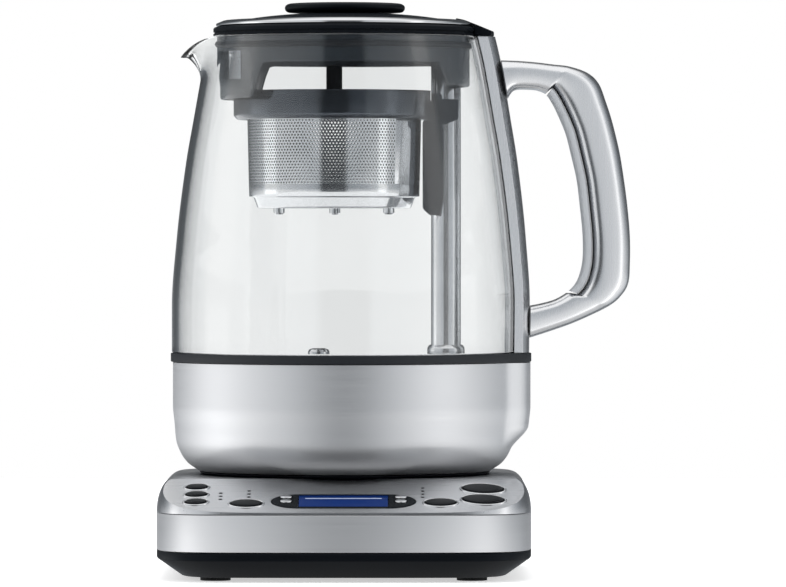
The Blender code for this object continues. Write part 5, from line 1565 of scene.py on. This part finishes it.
def thickened(made, wall, offset):
    """Gives a pierced sheet its wall, with crisp edges round its holes."""
    shape = bmesh.new()
    shape.from_mesh(made.data)
    for edge in shape.edges:
        edge.smooth = not edge.is_boundary
    shape.to_mesh(made.data)
    shape.free()
    shell = made.modifiers.new("wall", "SOLIDIFY")
    shell.thickness = wall
    shell.offset = offset


def build_mesh():
    """The perforated steel wall of the basket: fine holes in staggered rows all round, except for the
    plain strip that faces the post, between plain bands above and below."""
    low = MESH_BOTTOM + MESH_BAND
    rows = sizes().hole_rows
    columns = sizes().hole_columns
    span = math.radians(270)
    first = math.radians(45)
    height = MESH_HOLES_HEIGHT / rows

    def radius_at(level):
        return blend(*MESH_RADII, (level - MESH_BOTTOM) / (MESH_TOP - MESH_BOTTOM))

    def place(u, v):
        level = low + v
        return polar(radius_at(level) - MESH_WALL / 2, first + span * u / columns, level, BASKET_MIDDLE)

    hole = sizes().hole
    sheet = pierced_cells(columns, rows, height, hole / (span * MESH_RADII[1] / columns), hole, place)
    holes = piece(
        "basket_wall_holes", sheet, steel_perforated(), "basket", ("basket_mesh",)
    )
    thickened(holes, MESH_WALL, 0)

    def band(name, bottom, top, start, end, steps):
        angles = [blend(start, end, index / steps) for index in range(steps + 1)]
        section = softened(
            (
                (radius_at(bottom) - MESH_WALL, bottom, 0),
                (radius_at(bottom), bottom, 0),
                (radius_at(top), top, 0),
                (radius_at(top) - MESH_WALL, top, 0),
            ),
            0.15 * MM,
            2,
            closed=True,
        )
        whole = end - start > FULL_TURN - 0.001
        rings = [
            [
                polar(r, angle, z, BASKET_MIDDLE) for r, z, _ in section
            ] for angle in angles[: steps + (not whole)]
        ]
        return piece(
            name, loft(rings, closed=whole), steel_polished(), "basket", ("basket_mesh",)
        )

    band("basket_wall_foot", MESH_BOTTOM, low, 0, FULL_TURN, ROUND)
    band("basket_wall_head", low + MESH_HOLES_HEIGHT, MESH_TOP, 0, FULL_TURN, ROUND)
    band("basket_wall_strip", low, low + MESH_HOLES_HEIGHT, -first, first, 40)


def pierced_cells(columns, rows, height, hole_u, hole_v, place):
    """Cells one unit wide, with an oval hole in each that is round once the sheet is curved."""
    shape = bmesh.new()
    known = {}

    def vertex(u, v):
        key = (round(u, 5), round(v, 7))
        if key not in known:
            known[key] = shape.verts.new(place(u, v))
        return known[key]

    for row in range(rows):
        low = row * height
        shift = 0.5 if row % 2 else 0.0
        for column in range(columns if not row % 2 else columns - 1):
            left = column + shift
            outer = [
                vertex(u, v)
                for u, v in (
                    (left, low), (left + 0.5, low), (left + 1, low), (left + 1, low + height / 2),
                    (left + 1, low + height), (left + 0.5, low + height), (left, low + height),
                    (left, low + height / 2),
                )
            ]
            inner = []
            for index in range(8):
                angle = math.pi * 1.25 + FULL_TURN * index / 8
                inner.append(
                    shape.verts.new(
                        place(
                            left + 0.5 + hole_u * math.cos(angle), low + height / 2 + hole_v * math.sin(angle)
                        )
                    )
                )
            for index in range(8):
                after = (index + 1) % 8
                shape.faces.new((outer[index], outer[after], inner[after], inner[index]))
        if row % 2:
            for left in (0.0, columns - 0.5):
                corners = (
                    (left, low), (left + 0.5, low), (left + 0.5, low + height / 2),
                    (left + 0.5, low + height), (left, low + height), (left, low + height / 2),
                )
                shape.faces.new([vertex(u, v) for u, v in corners])
    bmesh.ops.recalc_face_normals(shape, faces=shape.faces)
    return shape


def build_pan():
    """The pressed floor of the basket, with its three lugs."""
    seat = MESH_BOTTOM - GAP
    lip = MESH_RADII[0] - MESH_WALL - GAP
    foot, rim = PAN_RADII
    profile = softened(
        (
            (0.01 * MM, PAN_BOTTOM, 0),
            (foot, PAN_BOTTOM, 0),
            (rim, seat, 0),
            (lip, seat, 0),
            (lip, MESH_BOTTOM + PAN_LIP, 0),
            (lip - PAN_WALL, MESH_BOTTOM + PAN_LIP, 0),
            (rim - PAN_WALL, seat, 0),
            (foot - PAN_WALL, PAN_BOTTOM + PAN_WALL, 0),
            (0.01 * MM, PAN_BOTTOM + PAN_WALL, 0),
        ),
        0.8 * MM,
        3,
    )
    parts = [turned([(r, z) for r, z, _ in profile], BASKET_MIDDLE, False)]
    for index in range(3):
        angle = math.pi / 2 + FULL_TURN * index / 3
        middle = Vector(polar(foot * 0.82, angle, 0, BASKET_MIDDLE))
        low = PAN_BOTTOM - 3 * MM
        profile = (
            (PAN_LUG_RADIUS * 0.7, low), (PAN_LUG_RADIUS, low + 0.8 * MM),
            (PAN_LUG_RADIUS, PAN_BOTTOM + 0.5 * MM)
        )
        parts.append(turned(profile, middle, False, 24))
    piece("basket_floor", grouped(parts), steel_polished(), "basket", ("basket_pan",))


def build_collar():
    """The grey ring round the top of the basket, funnelled inside and flat towards the post."""
    profile = softened(
        (
            (COLLAR_RADIUS - 1.8 * MM, COLLAR_BOTTOM, 0),
            (COLLAR_RADIUS, COLLAR_BOTTOM + 1.8 * MM, 0),
            (COLLAR_RADIUS, COLLAR_TOP, 0),
            (COLLAR_RADIUS - 1.6 * MM, COLLAR_TOP, 0),
            (COLLAR_BORE, (COLLAR_BOTTOM + COLLAR_TOP) / 2, 0),
            (COLLAR_BORE, COLLAR_BOTTOM, 0),
        ),
        0.6 * MM,
        3,
        closed=True,
    )
    shape = turned([(r, z) for r, z, _ in profile], BASKET_MIDDLE)
    face = POST_AXIS.x - BRACKET_FACE
    shape = beyond_plane(shape, Vector((face, 0, 0)), Vector((1, 0, 0)))
    piece("collar_ring", shape, plastic_slate(), "basket", ("basket_collar",))


def build_bracket():
    """The slide that hugs the post below the collar, and the magnet in its back."""
    low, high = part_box("basket_bracket")
    back = low[0] - AXIS.x
    face = POST_AXIS.x - AXIS.x - BRACKET_FACE
    top = COLLAR_BOTTOM - GAP
    bottom = low[2]
    tip = (top - bottom) * 0.14
    tab = top + GAP
    outline = softened(
        (
            (back, bottom + tip / 2, 0),
            (face, bottom, 0),
            (face + BRACKET_REACH / 2, bottom, 0),
            (face + BRACKET_REACH, bottom + tip, 0),
            (face + BRACKET_REACH, top - BRACKET_WALL, 0),
            (face + BRACKET_TAB_REACH, tab, 0),
            (face + BRACKET_TAB_REACH, tab + BRACKET_TAB_HEIGHT, 0),
            (face + GAP, tab + BRACKET_TAB_HEIGHT, 0),
            (face + GAP, top, 0),
            (back, top, 0),
        ),
        MM,
        3,
        closed=True,
    )
    channel = POST_RADIUS + 0.5 * MM
    shape = side_prism([(x, z) for x, z, _ in outline], channel + BRACKET_WALL, AXIS)
    corners = (
        (AXIS.x + face, AXIS.y - channel, bottom - 4 * MM),
        (AXIS.x + face + BRACKET_TAB_REACH + 4 * MM, AXIS.y + channel, COLLAR_TOP),
    )
    shape = carved(shape, block(*corners))
    low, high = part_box("bracket_magnet")
    pocket = (
        (low[0] - 4 * MM, low[1] - GAP, low[2] - GAP),
        tuple(value + GAP for value in high),
    )
    shape = carved(shape, block(*pocket))
    made = piece("slide_bracket", shape, plastic_slate(), "basket", ("basket_bracket",))
    rounded_edges(made, 0.4 * MM, 2)


def build_basket_lid():
    """The loose lid in the collar and the knob that it is lifted by."""
    low = low_of("basket_lid")
    top = high_of("basket_lid")
    radius = 40.9 * MM
    floor = top - 1.2 * MM
    profile = softened(
        (
            (0.01 * MM, low, 0),
            (radius, low, 0),
            (radius, top, 0),
            (radius * 0.93, top, 0),
            (radius * 0.88, floor, 0),
            (0.01 * MM, floor, 0),
        ),
        0.5 * MM,
        3,
    )
    shape = turned([(r, z) for r, z, _ in profile], BASKET_MIDDLE, False)
    piece("collar_lid", shape, plastic_slate(), "basket_cover", ("basket_lid",))
    low = low_of("basket_lid_knob")
    height = high_of("basket_lid_knob") - low
    waist = KNOB_RADIUS
    profile = softened(
        (
            (0.01 * MM, low, 0),
            (KNOB_RADIUS, low, 0),
            (KNOB_RADIUS, low + height * 0.12, 0),
            (waist, low + height * 0.2, 0),
            (waist, low + height * 0.70, 0),
            (KNOB_RADIUS, low + height * 0.78, 0),
            (KNOB_RADIUS, low + height, 0),
            (0.01 * MM, low + height, 0),
        ),
        0.8 * MM,
        4,
    )
    shape = turned([(r, z) for r, z, _ in profile], BASKET_MIDDLE, False, SMALL_ROUND)
    piece("collar_lid_knob", shape, plastic_black(), "basket_cover", ("basket_lid_knob",))


def shoulder_radius():
    return LID_RADIUS * LID_SHOULDER_SHARE


def shoulder_height():
    return LID_BOTTOM + LID_RIM_HEIGHT + LID_SHOULDER_RISE


def cover_height(radius):
    """Height of the lid's upper face: a dome inside the shoulder and a cone outside it."""
    shoulder = shoulder_radius()
    if radius < shoulder:
        return shoulder_height() + (LID_TOP - shoulder_height()) * (1 - (radius / shoulder) ** LID_DOME_POWER)
    return shoulder_height() - LID_SHOULDER_RISE * (radius - shoulder) / (LID_RADIUS - shoulder)


def build_cover():
    """The domed lid with its stepped rim, and the round knob on it."""
    radii = [blend(LID_BORE, shoulder_radius(), index / 16) for index in range(17)]
    flat = SKIRT_RADIUS - SKIRT_WALL - LID_WALL
    outside = [(radius, cover_height(radius), 0) for radius in radii]
    groove = LID_BOTTOM + 1.5 * MM
    outside += [
        (LID_RADIUS - 0.4 * MM, cover_height(LID_RADIUS - 0.4 * MM), 0),
        (LID_RADIUS, LID_BOTTOM + LID_RIM_HEIGHT - 0.4 * MM, 0),
        (LID_RADIUS, groove + 0.4 * MM, 0),
        (LID_RADIUS - 0.6 * MM, groove + 0.2 * MM, 0),
        (LID_RADIUS - 0.6 * MM, groove - 0.2 * MM, 0),
        (LID_RADIUS, groove - 0.4 * MM, 0),
        (LID_RADIUS, LID_BOTTOM + 0.2 * MM, 0),
        (LID_RADIUS - 0.3 * MM, LID_BOTTOM, 0),
        (flat, LID_BOTTOM, 0),
    ]
    inside = [(radius, cover_height(radius) - LID_WALL, 0) for radius in reversed(radii) if radius < flat]
    shape = turned([(r, z) for r, z, _ in outside + inside])
    piece("lid_dome", shape, plastic_slate_satin(), "lid", ("lid_cover",))

    low = LID_TOP + GAP
    top = high_of("lid_knob")
    stem = LID_BORE - GAP
    profile = [(0.01 * MM, low_of("lid_knob")), (stem, low_of("lid_knob")), (stem, low)]
    edge = softened(
        (
            (stem + MM, low, 0),
            (LID_KNOB_RADIUS - 1.2 * MM, low, 0),
            (LID_KNOB_RADIUS, low + 1.2 * MM, 0),
            (LID_KNOB_RADIUS, top - 1.2 * MM, 0),
            (LID_KNOB_RADIUS - 1.6 * MM, top - 0.1 * MM, 0),
            (LID_KNOB_RADIUS * 0.5, top, 0),
        ),
        MM,
        4,
    )
    profile += [(r, z) for r, z, _ in edge] + [(0.01 * MM, top)]
    piece("lid_grip", turned(profile, closed=False), plastic_black(), "lid", ("lid_knob",))


def build_trim():
    """The bright ring on the lid's shoulder, open where the tab crosses it, and the black tab."""
    seat = LID_SHOULDER_RISE / (LID_RADIUS - shoulder_radius()) * GAP + GAP
    inner = shoulder_radius() + GAP
    outer = inner + TRIM_WIDTH
    spare = TAB_HALF_SPAN + GAP / LID_RADIUS * 2
    low = [(radius, cover_height(radius) + seat, 0) for radius in (inner, outer)]
    section = softened(
        low + [(r, z + TRIM_THICKNESS, 0) for r, z, _ in reversed(low)], 0.4 * MM, 4, closed=True
    )
    ring = arc_solid([(r, z) for r, z, _ in section], spare, FULL_TURN - spare, ROUND)
    piece("lid_bright_ring", ring, steel_polished(), "lid", ("lid_trim_ring",))
    start = LID_RADIUS - TAB_OVERLAP
    side = LID_RADIUS + GAP
    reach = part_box("lid_tab")[1][0] - AXIS.x
    section = softened(
        (
            (start, cover_height(start) + seat, 0),
            (shoulder_radius(), shoulder_height() + seat, 0),
            (side, cover_height(LID_RADIUS) + seat, 0),
            (side, LID_BOTTOM, 0),
            (reach, LID_BOTTOM, 0),
            (reach, LID_BOTTOM + TAB_NOSE, 0),
            (side, cover_height(LID_RADIUS) + TAB_THICKNESS, 0),
            (shoulder_radius(), shoulder_height() + TAB_THICKNESS, 0),
            (start, cover_height(start) + TAB_THICKNESS, 0),
        ),
        0.5 * MM,
        3,
        closed=True,
    )
    tab = arc_solid([(r, z) for r, z, _ in section], -TAB_HALF_SPAN, TAB_HALF_SPAN, 16)
    piece("lid_wedge_tab", tab, plastic_black(), "lid", ("lid_tab",))


def skirt_depth(angle):
    """How far the skirt hangs below its top: deep at the spout, less so at the post."""

    def share(centre, span):
        return 1 - smooth_step((angle_from(angle, centre) - span) / SKIRT_EDGE_SPAN)

    deep = (SKIRT_DEEP - SKIRT_SHALLOW) * share(math.pi, SKIRT_DEEP_SPAN)
    right = (SKIRT_RIGHT - SKIRT_SHALLOW) * share(0, SKIRT_RIGHT_SPAN)
    return SKIRT_SHALLOW + deep + right


SKIRT_CEILING = 2 * MM
SKIRT_ROUND = 0.5 * MM


def build_skirt():
    """The smoky inner wall of the lid with its ceiling and pouring windows, and the strainer and soft
    seal that it carries."""
    top = LID_BOTTOM - GAP
    inner = SKIRT_RADIUS - SKIRT_WALL
    angles = ring_angles()
    hanging = (
        (SKIRT_RADIUS, 0),
        (SKIRT_RADIUS, 0.97),
        (SKIRT_RADIUS - SKIRT_ROUND, 1),
        (inner + 0.3 * MM, 1),
        (inner, 0.98),
    )
    ceiling = (
        (inner, SKIRT_CEILING + SKIRT_ROUND),
        (inner - SKIRT_ROUND, SKIRT_CEILING),
        (SKIRT_ROUND, SKIRT_CEILING),
        (SKIRT_ROUND, 0),
    )
    rings = [
        [polar(radius, angle, top - skirt_depth(angle) * share) for angle in angles]
        for radius, share in hanging
    ]
    rings += [[polar(radius, angle, top - drop) for angle in angles] for radius, drop in ceiling]
    shape = loft(rings, closed=True)
    high = top - WINDOW_TOP
    low = high - WINDOW_HEIGHT
    section = (
        (inner - 4 * MM, low), (SKIRT_RADIUS + 4 * MM, low), (SKIRT_RADIUS + 4 * MM, high),
        (inner - 4 * MM, high)
    )
    first, last = WINDOW_ANGLES
    windows = [
        arc_solid(section, math.pi + start, math.pi + end, 12) for start,
        end in ((-last, -first), (first, last))
    ]
    shape = carved(shape, grouped(windows))
    piece("lid_smoke_skirt", shape, plastic_smoke(), "lid", ("lid_skirt",))

    radius = inner - GAP - STRAINER_WALL / 2
    start = math.pi - last - STRAINER_MARGIN / radius
    span = 2 * (last + STRAINER_MARGIN / radius)
    columns = 34
    rows = 9
    height = (WINDOW_HEIGHT + 2 * STRAINER_MARGIN) / rows

    def place(u, v):
        return polar(radius, start + span * u / columns, low - STRAINER_MARGIN + v)

    hole = 0.55 * MM
    sheet = pierced_cells(columns, rows, height, hole / (span * radius / columns), hole, place)
    made = piece("lid_strainer_sheet", sheet, steel_perforated(), "lid", ("lid_strainer",))
    thickened(made, STRAINER_WALL, 0)

    high = high_of("lid_seal")
    low = low_of("lid_seal")
    inner = SKIRT_RADIUS + GAP
    profile = softened(
        ((inner, low, 0), (inner + MM, (low + high) / 2, 0), (inner, high, 0)), 0.3 * MM, 3, closed=True
    )
    piece(
        "lid_lip_seal", turned([(r, z) for r, z, _ in profile]), silicone_black(), "lid", ("lid_seal",),
    )


def finish_hidden():
    """Finishes for the frame's nodes that stay as they are: the feet, the connectors and the works."""
    refinish(
        rubber_black(), "foot_front_left", "foot_front_right", "foot_rear_left", "foot_rear_right",
        "cord_inlet"
    )
    refinish(plastic_black(), "base_connector", "jug_connector")
    refinish(board_mask(), "control_board")
    refinish(plastic_pale(), "display_module")
    refinish(element_sheath(), "heating_element")
    refinish(steel_zinc(), "drive_carrier", "drive_motor")
    refinish(steel_polished(), "lead_screw")
    refinish(nylon_natural(), "screw_gear")
    refinish(brass_cut(), "motor_pinion")
    refinish(ferrite_ground(), "magnet_nut", "bracket_magnet")


def stage_object(name, shape, finish):
    mesh = bpy.data.meshes.new(name)
    shape.to_mesh(mesh)
    shape.free()
    made = bpy.data.objects.new(name, mesh)
    bpy.context.scene.collection.objects.link(made)
    mesh.materials.append(finish)
    return made


FLOOR_REACH = 1.2
FLOOR_SHADE = 0.8
FLOOR_GLOW = 0.55


def build_floor(stage):
    """A matt white floor. To the camera it glows a little, so that it meets the white background and
    still shows the object's shadow."""
    finish = bpy.data.materials.new("Painted Floor White")
    finish.use_nodes = True
    tree = finish.node_tree
    tree.nodes.clear()
    path = add_node(tree, "ShaderNodeLightPath")
    matt = add_node(
        tree, "ShaderNodeBsdfDiffuse", {"Color": shaded(stage.floor, FLOOR_SHADE), "Roughness": 0.5}
    )
    seen = add_node(
        tree, "ShaderNodeMath", {0: path.outputs["Is Camera Ray"], 1: path.outputs["Is Transmission Ray"]},
        operation="MAXIMUM"
    )
    level = add_node(tree, "ShaderNodeMath", {0: seen, 1: FLOOR_GLOW}, operation="MULTIPLY")
    glow = add_node(tree, "ShaderNodeEmission", {"Color": opaque(stage.floor), "Strength": level})
    both = add_node(tree, "ShaderNodeAddShader", {0: matt, 1: glow})
    add_node(tree, "ShaderNodeOutputMaterial", {"Surface": both})
    shape = bmesh.new()
    corners = [
        shape.verts.new((x * FLOOR_REACH, y * FLOOR_REACH, 0)) for x,
        y in ((-1, -1), (1, -1), (1, 1), (-1, 1))
    ]
    shape.faces.new(corners)
    # steel shows the room under the eye line, not the floor's white
    stage_object("floor", shape, finish).visible_glossy = False


# The room round the object, seen from it: turn from the front in degrees, right positive, and light.
# A dark card stands straight in front, and the bright walls are at the sides.
ROOM = (
    (-180, 0.5),
    (-168, 0.5),
    (-163, 0.08),
    (-152, 0.15),
    (-143, 0.6),
    (-120, 0.95),
    (-109, 1.2),
    (-105, 2.2),
    (-86, 2.2),
    (-82, 1.15),
    (-60, 1.0),
    (-40, 0.90),
    (-28, 0.86),
    (-20, 0.82),
    (-15, 0.08),
    (14, 0.08),
    (19, 0.72),
    (28, 0.82),
    (45, 0.95),
    (60, 1.05),
    (63, 1.9),
    (73, 1.9),
    (76, 1.1),
    (90, 1.0),
    (105, 0.9),
    (125, 0.75),
    (143, 0.55),
    (150, 0.12),
    (163, 0.08),
    (168, 0.5),
    (180, 0.5),
)
# Under eye height at a steep angle the room is dim, as a table under the object is
ROOM_GROUND = 0.55
# The same above eye height, where the wall behind is dark, so that the lid's top is too
ROOM_ABOVE = (
    (-180, 0.04),
    (-160, 0.06),
    (-135, 0.12),
    (-112, 0.5),
    (-105, 1.0),
    (-86, 1.0),
    (-78, 0.8),
    (-40, 0.6),
    (-21, 0.45),
    (-16, 0.05),
    (15, 0.05),
    (20, 0.40),
    (45, 0.55),
    (60, 0.8),
    (64, 1.3),
    (74, 1.3),
    (80, 0.7),
    (110, 0.3),
    (135, 0.08),
    (160, 0.05),
    (180, 0.04),
)
ROOM_CEILING = 1.15
ROOM_GLEAM = 0.03
# Heights of the looking direction between which one part of the room passes into the next
ROOM_GROUND_HEIGHTS = (-0.45, -0.8)
ROOM_EYE_HEIGHTS = (-0.11, 0.07)
ROOM_CEILING_HEIGHTS = (0.50, 0.70)
# the dim parts of the room are a little blue
ROOM_COOL = 0.12


def room_ramp(tree, share, stops):
    """One height of the room as a colour ramp over the turn."""
    ramp = add_node(tree, "ShaderNodeValToRGB", {"Fac": share})
    band = ramp.color_ramp
    band.elements.remove(band.elements[0])
    for index, (degrees, light) in enumerate(stops):
        position = degrees / 360 + 0.5
        stop = band.elements[0] if index == 0 else band.elements.new(position)
        stop.position = position
        cool = ROOM_COOL * max(1 - light, 0)
        stop.color = (light * (1 - cool), light, light * (1 + cool), 1)
    return ramp.outputs["Color"]


def build_world(stage):
    """A white room for the camera and for what glass shows. What lights and gleams is the same room
    with its grey front, two bright walls and dark edges, as a studio has."""
    world = bpy.data.worlds.new("Studio")
    bpy.context.scene.world = world
    world.use_nodes = True
    tree = world.node_tree
    tree.nodes.clear()
    place = add_node(tree, "ShaderNodeTexCoord")
    parts = add_node(tree, "ShaderNodeSeparateXYZ", {"Vector": place.outputs["Generated"]})
    height = parts.outputs["Z"]
    front = add_node(tree, "ShaderNodeMath", {0: parts.outputs["Y"], 1: -1.0}, operation="MULTIPLY")
    turn = add_node(tree, "ShaderNodeMath", {0: parts.outputs["X"], 1: front}, operation="ARCTAN2")
    share = add_node(
        tree, "ShaderNodeMapRange", {
            "Value": turn, "From Min": -math.pi, "From Max": math.pi, "To Min": 0.0, "To Max": 1.0
        }
    )
    room = room_ramp(tree, share, ROOM)
    for (first, last), other in (
        (ROOM_GROUND_HEIGHTS, opaque((ROOM_GROUND,) * 3)),
        (ROOM_EYE_HEIGHTS, room_ramp(tree, share, ROOM_ABOVE)),
        (ROOM_CEILING_HEIGHTS, opaque((ROOM_CEILING,) * 3)),
    ):
        part = add_node(
            tree,
            "ShaderNodeMapRange",
            {"Value": height, "From Min": first, "From Max": last, "To Min": 0.0, "To Max": 1.0},
            interpolation_type="SMOOTHSTEP",
        )
        room = add_node(tree, "ShaderNodeMix", {0: part, 6: room, 7: other}, data_type="RGBA").outputs[2]
    path = add_node(tree, "ShaderNodeLightPath")
    direct = add_node(
        tree, "ShaderNodeMath", {0: path.outputs["Glossy Depth"], 1: 0.5}, operation="LESS_THAN"
    )
    through = add_node(
        tree, "ShaderNodeMath", {0: path.outputs["Is Transmission Ray"], 1: direct}, operation="MULTIPLY"
    )
    seen = add_node(
        tree, "ShaderNodeMath", {0: path.outputs["Is Camera Ray"], 1: through}, operation="MAXIMUM"
    )
    gleam = add_node(
        tree, "ShaderNodeMath", {0: path.outputs["Is Glossy Ray"], 1: ROOM_GLEAM}, operation="MULTIPLY"
    )
    white = add_node(tree, "ShaderNodeMath", {0: seen, 1: gleam}, operation="MAXIMUM")
    shown = add_node(
        tree, "ShaderNodeMix", {0: white, 6: room, 7: opaque(stage.floor)}, data_type="RGBA"
    )
    light = add_node(tree, "ShaderNodeBackground", {"Color": shown.outputs[2], "Strength": 1.0})
    add_node(tree, "ShaderNodeOutputWorld", {"Surface": light})


def aim(made, target):
    made.rotation_euler = (Vector(target) - made.location).to_track_quat("-Z", "Y").to_euler()


def build_lamp(name, power, size, place, target):
    lamp = bpy.data.lights.new(name, "AREA")
    lamp.shape = "RECTANGLE"
    lamp.size, lamp.size_y = size
    lamp.energy = power
    made = bpy.data.objects.new(name, lamp)
    bpy.context.scene.collection.objects.link(made)
    made.location = place
    made.visible_glossy = False
    made.visible_transmission = False
    aim(made, target)


CAMERA_PLACE = AXIS + Vector((0.0226, -3.149, 0.1588))
CAMERA_DOWN = math.radians(0.509)
SENSOR_WIDTH_MM = 36


def build_camera(stage):
    """The camera, level with the middle of the jug and far off, as a long lens sees it."""
    data = bpy.data.cameras.new("camera")
    data.lens = stage.lens
    data.sensor_width = SENSOR_WIDTH_MM
    data.clip_end = 50
    made = bpy.data.objects.new("camera", data)
    bpy.context.scene.collection.objects.link(made)
    made.location = CAMERA_PLACE
    made.rotation_euler = (math.pi / 2 - CAMERA_DOWN, 0, 0)
    bpy.context.scene.camera = made


class MakerOperator:
    """What every operator of this file has in common"""

    bl_options = {"REGISTER", "UNDO"}
    steps = ()

    def execute(self, context):
        for step in self.steps:
            step()
        return {"FINISHED"}


class TEAMAKER_OT_housing(MakerOperator, bpy.types.Operator):
    """Build the tub, the steel band, the sloping panel and the jug's seat"""

    bl_idname = "tea_maker.housing"
    bl_label = "Base Housing"
    steps = (build_tub, build_band, build_panel, build_seat)


class TEAMAKER_OT_controls(MakerOperator, bpy.types.Operator):
    """Build the buttons with their rims, the display and the light dots"""

    bl_idname = "tea_maker.controls"
    bl_label = "Controls"
    steps = (build_buttons, build_display, build_lights)


class TEAMAKER_OT_bowl(MakerOperator, bpy.types.Operator):
    """Build the jug's foot, its steel bowl and the seal"""

    bl_idname = "tea_maker.bowl"
    bl_label = "Foot and Bowl"
    steps = (build_foot, build_bowl, build_seal)


class TEAMAKER_OT_floor(MakerOperator, bpy.types.Operator):
    """Build the jug's heated floor, the probe and the post"""

    bl_idname = "tea_maker.heater"
    bl_label = "Heater and Post"
    steps = (build_heater, build_post)


class TEAMAKER_OT_glass(MakerOperator, bpy.types.Operator):
    """Build the glass wall with its spout"""

    bl_idname = "tea_maker.glass"
    bl_label = "Glass"
    steps = (build_glass,)


class TEAMAKER_OT_handle(MakerOperator, bpy.types.Operator):
    """Build the column and the looped handle with its strip"""

    bl_idname = "tea_maker.handle"
    bl_label = "Column and Handle"
    steps = (build_column, build_handle)


class TEAMAKER_OT_basket(MakerOperator, bpy.types.Operator):
    """Build the perforated basket with its collar, slide and lid"""

    bl_idname = "tea_maker.basket"
    bl_label = "Basket"
    steps = (build_mesh, build_pan, build_collar, build_bracket, build_basket_lid)


class TEAMAKER_OT_lid(MakerOperator, bpy.types.Operator):
    """Build the lid with its grip, trim, skirt and strainer"""

    bl_idname = "tea_maker.lid"
    bl_label = "Lid"
    steps = (build_cover, build_trim, build_skirt)


class TEAMAKER_OT_works(MakerOperator, bpy.types.Operator):
    """Give the feet, the connectors and the hidden works their finishes"""

    bl_idname = "tea_maker.works"
    bl_label = "Feet and Works"
    steps = (finish_hidden,)


class TEAMAKER_OT_stage(bpy.types.Operator):
    """Build the floor, the room, the lamps and the camera"""

    bl_idname = "tea_maker.stage"
    bl_label = "Stage"
    bl_options = {"REGISTER", "UNDO"}

    def execute(self, context):
        stage = context.scene.tea_maker_stage
        build_floor(stage)
        build_world(stage)
        middle = AXIS + Vector((0, 0, 0.13))
        build_lamp("key", stage.key_power, (0.9, 0.9), AXIS + Vector((-1.1, -0.9, 0.9)), middle)
        build_lamp("fill", stage.fill_power, (0.7, 1.0), AXIS + Vector((1.3, -0.6, 0.6)), middle)
        build_lamp("top", stage.top_power, (1.0, 1.0), AXIS + Vector((0, 0.2, 1.3)), middle)
        build_camera(stage)
        context.scene.view_settings.view_transform = "Standard"
        return {"FINISHED"}


OPERATORS = (
    TEAMAKER_OT_housing,
    TEAMAKER_OT_controls,
    TEAMAKER_OT_bowl,
    TEAMAKER_OT_floor,
    TEAMAKER_OT_glass,
    TEAMAKER_OT_handle,
    TEAMAKER_OT_basket,
    TEAMAKER_OT_lid,
    TEAMAKER_OT_works,
    TEAMAKER_OT_stage,
)


class TEAMAKER_PT_build(bpy.types.Panel):
    """Lists the pieces to build, with their sizes and colours"""

    bl_idname = "TEAMAKER_PT_build"
    bl_label = "Tea Maker"
    bl_space_type = "VIEW_3D"
    bl_region_type = "UI"
    bl_category = "Tea Maker"

    def draw(self, context):
        for name in PROPERTIES:
            column = self.layout.column()
            group = getattr(context.scene, name)
            for key in group.__annotations__:
                column.prop(group, key)
        for operator in OPERATORS:
            self.layout.operator(operator.bl_idname)


PROPERTIES = {
    "tea_maker_colours": TeaMakerColours,
    "tea_maker_sizes": TeaMakerSizes,
    "tea_maker_stage": TeaMakerStage,
}


def register():
    for name, group in PROPERTIES.items():
        bpy.utils.register_class(group)
        setattr(bpy.types.Scene, name, PointerProperty(type=group))
    for kind in (*OPERATORS, TEAMAKER_PT_build):
        bpy.utils.register_class(kind)


def unregister():
    for kind in (TEAMAKER_PT_build, *reversed(OPERATORS)):
        bpy.utils.unregister_class(kind)
    for name, group in reversed(PROPERTIES.items()):
        delattr(bpy.types.Scene, name)
        bpy.utils.unregister_class(group)


def main():
    register()
    bpy.ops.tea_maker.housing()
    bpy.ops.tea_maker.controls()
    bpy.ops.tea_maker.bowl()
    bpy.ops.tea_maker.heater()
    bpy.ops.tea_maker.glass()
    bpy.ops.tea_maker.handle()
    bpy.ops.tea_maker.basket()
    bpy.ops.tea_maker.lid()
    bpy.ops.tea_maker.works()
    bpy.ops.tea_maker.stage()
    bpy.context.view_layer.update()


if __name__ == "__main__":
    main()
